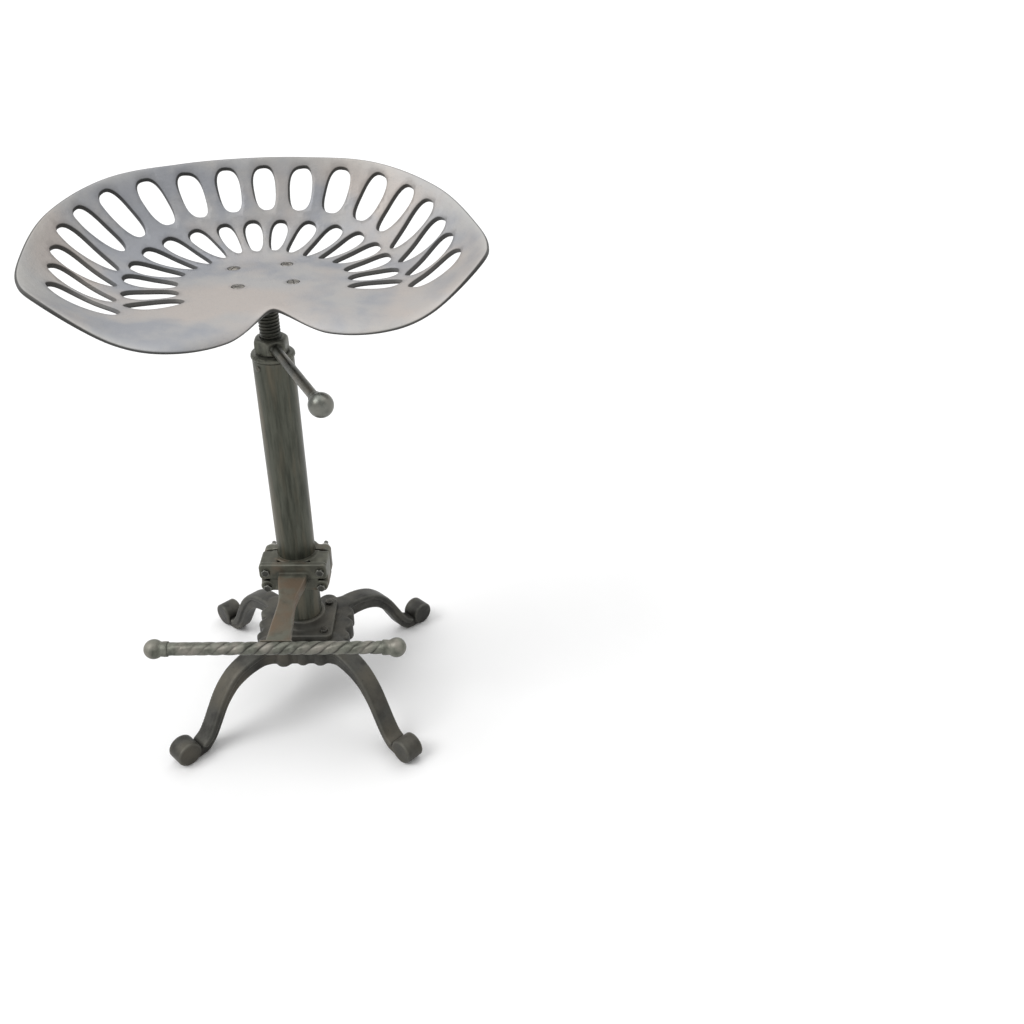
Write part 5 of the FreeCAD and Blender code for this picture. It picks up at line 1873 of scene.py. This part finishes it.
    def pan(self) -> Surface:
        """Both faces of the pan and the rounded edge of every opening.

        The faces share one triangulation of the plan. Each edge is a strip of rows from the top face to the under side.

        Returns:
            The closed surface with its point values.
        """
        slots, screws = self.slots(), self.screw_loops()
        loops = [self.rim_loop()] + slots + screws
        kinds = [Edge.RIM] + [Edge.SLOT] * len(slots) + [Edge.SCREW] * len(screws)
        plans, spaces, depths, shades = (list(parts) for parts in zip(*map(self.edge, loops, kinds)))
        strips, upper, lower, start, rows = [], [], [], 0, len(self.slot_section)
        for loop in loops:
            index = start + np.arange(rows * len(loop)).reshape(rows, len(loop))
            step = np.roll(index, -1, axis=1)
            strips.append(np.stack([index[:-1], index[1:], step[1:], step[:-1]], axis=-1).reshape(-1, 4))
            upper.append(index[0])
            lower.append(index[-1])
            start += index.size
        tops = [plan[: len(loop)] for plan, loop in zip(plans, loops)]
        inner = self.lattice(tops)
        count = len(inner)
        upper.append(start + np.arange(count))
        lower.append(start + count + np.arange(count))
        tris = self.triangles(tops, inner)
        faces = np.vstack([np.concatenate(upper)[tris], np.concatenate(lower)[tris][:, ::-1]])
        space = np.vstack(spaces + [self.lifted(inner, 0.0)[0], self.lifted(inner, self.wall)[0]])
        deep = np.concatenate(depths + [np.zeros(count), np.ones(count)])
        shade = np.concatenate(shades + [np.ones(2 * count)])
        values = self.tone_and_painted_light(np.vstack(plans + [inner, inner]), deep, shade, loops)
        return Surface(space @ about_z(self.turn).T, np.vstack(strips), faces, values=values)

    def screw_head(self, x: Array, y: Array, z: Array) -> Array:
        """Distance to a slotted flat head on its shank, about the screw's own axis.

        Args:
            x: Places across.
            y: Places along.
            z: Heights.

        Returns:
            The distances, negative inside.
        """
        radius = np.hypot(x, y)
        head = rounded(radius - 6.2, between(z, -1.6, 0.9), 0.7)
        cone = (radius - 3.0 - (z + 3.4)) * 0.7
        head = smooth_min(head, np.maximum(cone, between(z, -3.4, -1.0)), 0.3)
        head = np.maximum(head, np.sqrt(radius**2 + (z + 22.0) ** 2) - 22.9)
        shank = np.maximum(radius - 3.0, between(z, -20.9, -2.0))
        slot = np.maximum(np.abs(y) - 0.75, -z - 0.7)
        return smooth_max(np.minimum(head, shank), -slot, 0.25)

    def screws(self) -> Surface:
        """Four screws, each slot left at its own angle.

        Returns:
            The closed surfaces as one.
        """
        one = cast(self.screw_head, (-6.4, -6.4, -21), (6.4, 6.4, 1.0), 0.5)
        parts = []
        for k, (x, y) in enumerate(self.screw_places()):
            parts.append(one.placed(about_z(40.0 * k + 12.0), np.array([x, y, self.height])))
        return Surface.joined(parts).placed(about_z(self.turn), np.zeros(3))

    def build(self) -> None:
        """Make and dress the pan and its screws."""
        fit("Pan", self.pan(), SEAT_METAL, "seat", "seat_pan")
        fit("Pan_screws", self.screws(), SCREW_STEEL, "seat", "seat_screws")


@dataclass
class Studio:
    """Pale floor, soft lamps and the camera.

    Attributes:
        eye: Place of the camera, in metres.
        yaw: Turn of its level direction from straight back, in degrees.
        pitch: How far it looks down, in degrees.
        roll: Its roll, in degrees.
        lens: Its lens for a frame 36 mm wide.
        lamps: Name, direction, spread in degrees and strength of each sun.
        floor_side: Half the floor's side, in metres.
        floor_grey: How pale the floor is to the light that falls on things.
        world_light: Strength of the world as a light.
    """

    eye: tuple[float, float, float] = (0.2347, -1.0897, 0.9998)
    yaw: float = -2.44
    pitch: float = 33.02
    roll: float = 1.15
    lens: float = 35.525
    lamps: tuple[tuple[str, tuple[float, float, float], float, float], ...] = (
        ("Key", (-0.80, -0.35, 1.0), 36.0, 1.50),
        ("Top", (0.1, 0.25, 1.0), 70.0, 1.00),
    )
    floor_side: float = 14.0
    floor_grey: float = 0.38
    world_light: float = 0.48

    def camera(self) -> None:
        """Camera at the photograph's angle: level direction by yaw, tipped down by pitch, then rolled."""
        data = bpy.data.cameras.new("Camera")
        data.lens = self.lens
        data.sensor_width = 36.0
        data.sensor_fit = "HORIZONTAL"
        data.clip_end = 60.0
        camera = bpy.data.objects.new("Camera", data)
        yaw, pitch, roll = (math.radians(v) for v in (self.yaw, self.pitch, self.roll))
        ahead = Vector((-math.sin(yaw) * math.cos(pitch), math.cos(yaw) * math.cos(pitch), -math.sin(pitch)))
        level = Vector((math.cos(yaw), math.sin(yaw), 0.0))
        over = level.cross(ahead)
        right = math.cos(roll) * level + math.sin(roll) * over
        up = math.cos(roll) * over - math.sin(roll) * level
        camera.matrix_world = Matrix.Translation(self.eye) @ Matrix((right, up, -ahead)).transposed().to_4x4()
        bpy.context.scene.collection.objects.link(camera)
        bpy.context.scene.camera = camera

    @staticmethod
    def sun(name: str, way: tuple[float, float, float], spread: float, strength: float) -> None:
        """Broad soft light that falls evenly on the whole floor.

        Args:
            name: Name of the lamp.
            way: Direction that the light comes from.
            spread: Its angle across, in degrees.
            strength: Its strength.
        """
        data = bpy.data.lights.new(name, "SUN")
        data.angle = math.radians(spread)
        data.energy = strength
        sun = bpy.data.objects.new(name, data)
        sun.rotation_euler = (-Vector(way)).to_track_quat("-Z", "Y").to_euler()
        bpy.context.scene.collection.objects.link(sun)

    @staticmethod
    def seen(tree: Tree) -> Socket:
        """One for what the camera sees straight, in gloss or through glass, nought for light that falls on things.

        Args:
            tree: Tree of the material or world.

        Returns:
            The value.
        """
        path = tree.nodes.new("ShaderNodeLightPath").outputs
        value = combined(tree, "MAXIMUM", path["Is Camera Ray"], path["Is Glossy Ray"])
        return combined(tree, "MAXIMUM", value, path["Is Transmission Ray"])

    def floor(self) -> None:
        """Wide pale floor; to the camera it is lighter, so that it meets the white background."""
        mesh = bpy.data.meshes.new("Floor")
        side = self.floor_side
        mesh.from_pydata([(-side, -side, 0), (side, -side, 0), (side, side, 0), (-side, side, 0)], [], [(0, 1, 2, 3)])
        floor = bpy.data.objects.new("Floor", mesh)
        bpy.context.scene.collection.objects.link(floor)
        material = bpy.data.materials.new("floor_paint")
        material.use_nodes = True
        tree = material.node_tree
        shader = tree.nodes["Principled BSDF"]
        shader.inputs["Roughness"].default_value = 0.9
        shader.inputs["Specular IOR Level"].default_value = 0.1
        grey, white = (self.floor_grey,) * 3, (1.0, 1.0, 1.0)
        tree.links.new(blended(tree, self.seen(tree), grey, white), shader.inputs["Base Color"])
        floor.data.materials.append(material)

    def world(self) -> None:
        """White to the camera and in reflections, dimmer as a light on the object."""
        world = bpy.data.worlds.new("Studio")
        bpy.context.scene.world = world
        world.use_nodes = True
        tree = world.node_tree
        tree.nodes.clear()
        dim, white = tree.nodes.new("ShaderNodeBackground"), tree.nodes.new("ShaderNodeBackground")
        for background, strength in ((dim, self.world_light), (white, 1.0)):
            background.inputs["Color"].default_value = (1.0, 1.0, 1.0, 1.0)
            background.inputs["Strength"].default_value = strength
        mix = tree.nodes.new("ShaderNodeMixShader")
        tree.links.new(self.seen(tree), mix.inputs["Fac"])
        tree.links.new(dim.outputs[0], mix.inputs[1])
        tree.links.new(white.outputs[0], mix.inputs[2])
        tree.links.new(mix.outputs[0], tree.nodes.new("ShaderNodeOutputWorld").inputs["Surface"])

    def build(self) -> None:
        """Set the stage."""
        bpy.context.scene.view_settings.view_transform = "Standard"
        self.camera()
        self.floor()
        self.world()
        for lamp in self.lamps:
            self.sun(*lamp)


KEPT: dict[str, Finish] = {
    "flange_nuts": FLANGE_BOLT_STEEL,
    "clamp_washers": BOLT_STEEL,
    "clamp_nuts": BOLT_STEEL,
    "seat_washers": BOLT_STEEL,
    "seat_nuts": BOLT_STEEL,
    "spindle_guide": GUIDE_BLACK,
    "spindle_stop": BOLT_STEEL,
}


def main() -> None:
    logging.basicConfig(level=logging.INFO, format="%(message)s")
    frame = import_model()
    for part in (Studio(), Base(), Post(), Lever(), Footrest(), Spindle(), SeatPan()):
        part.build()
    for name, finish in KEPT.items():
        dress(frame["nodes"][name], finish)


if __name__ == "__main__":
    main()
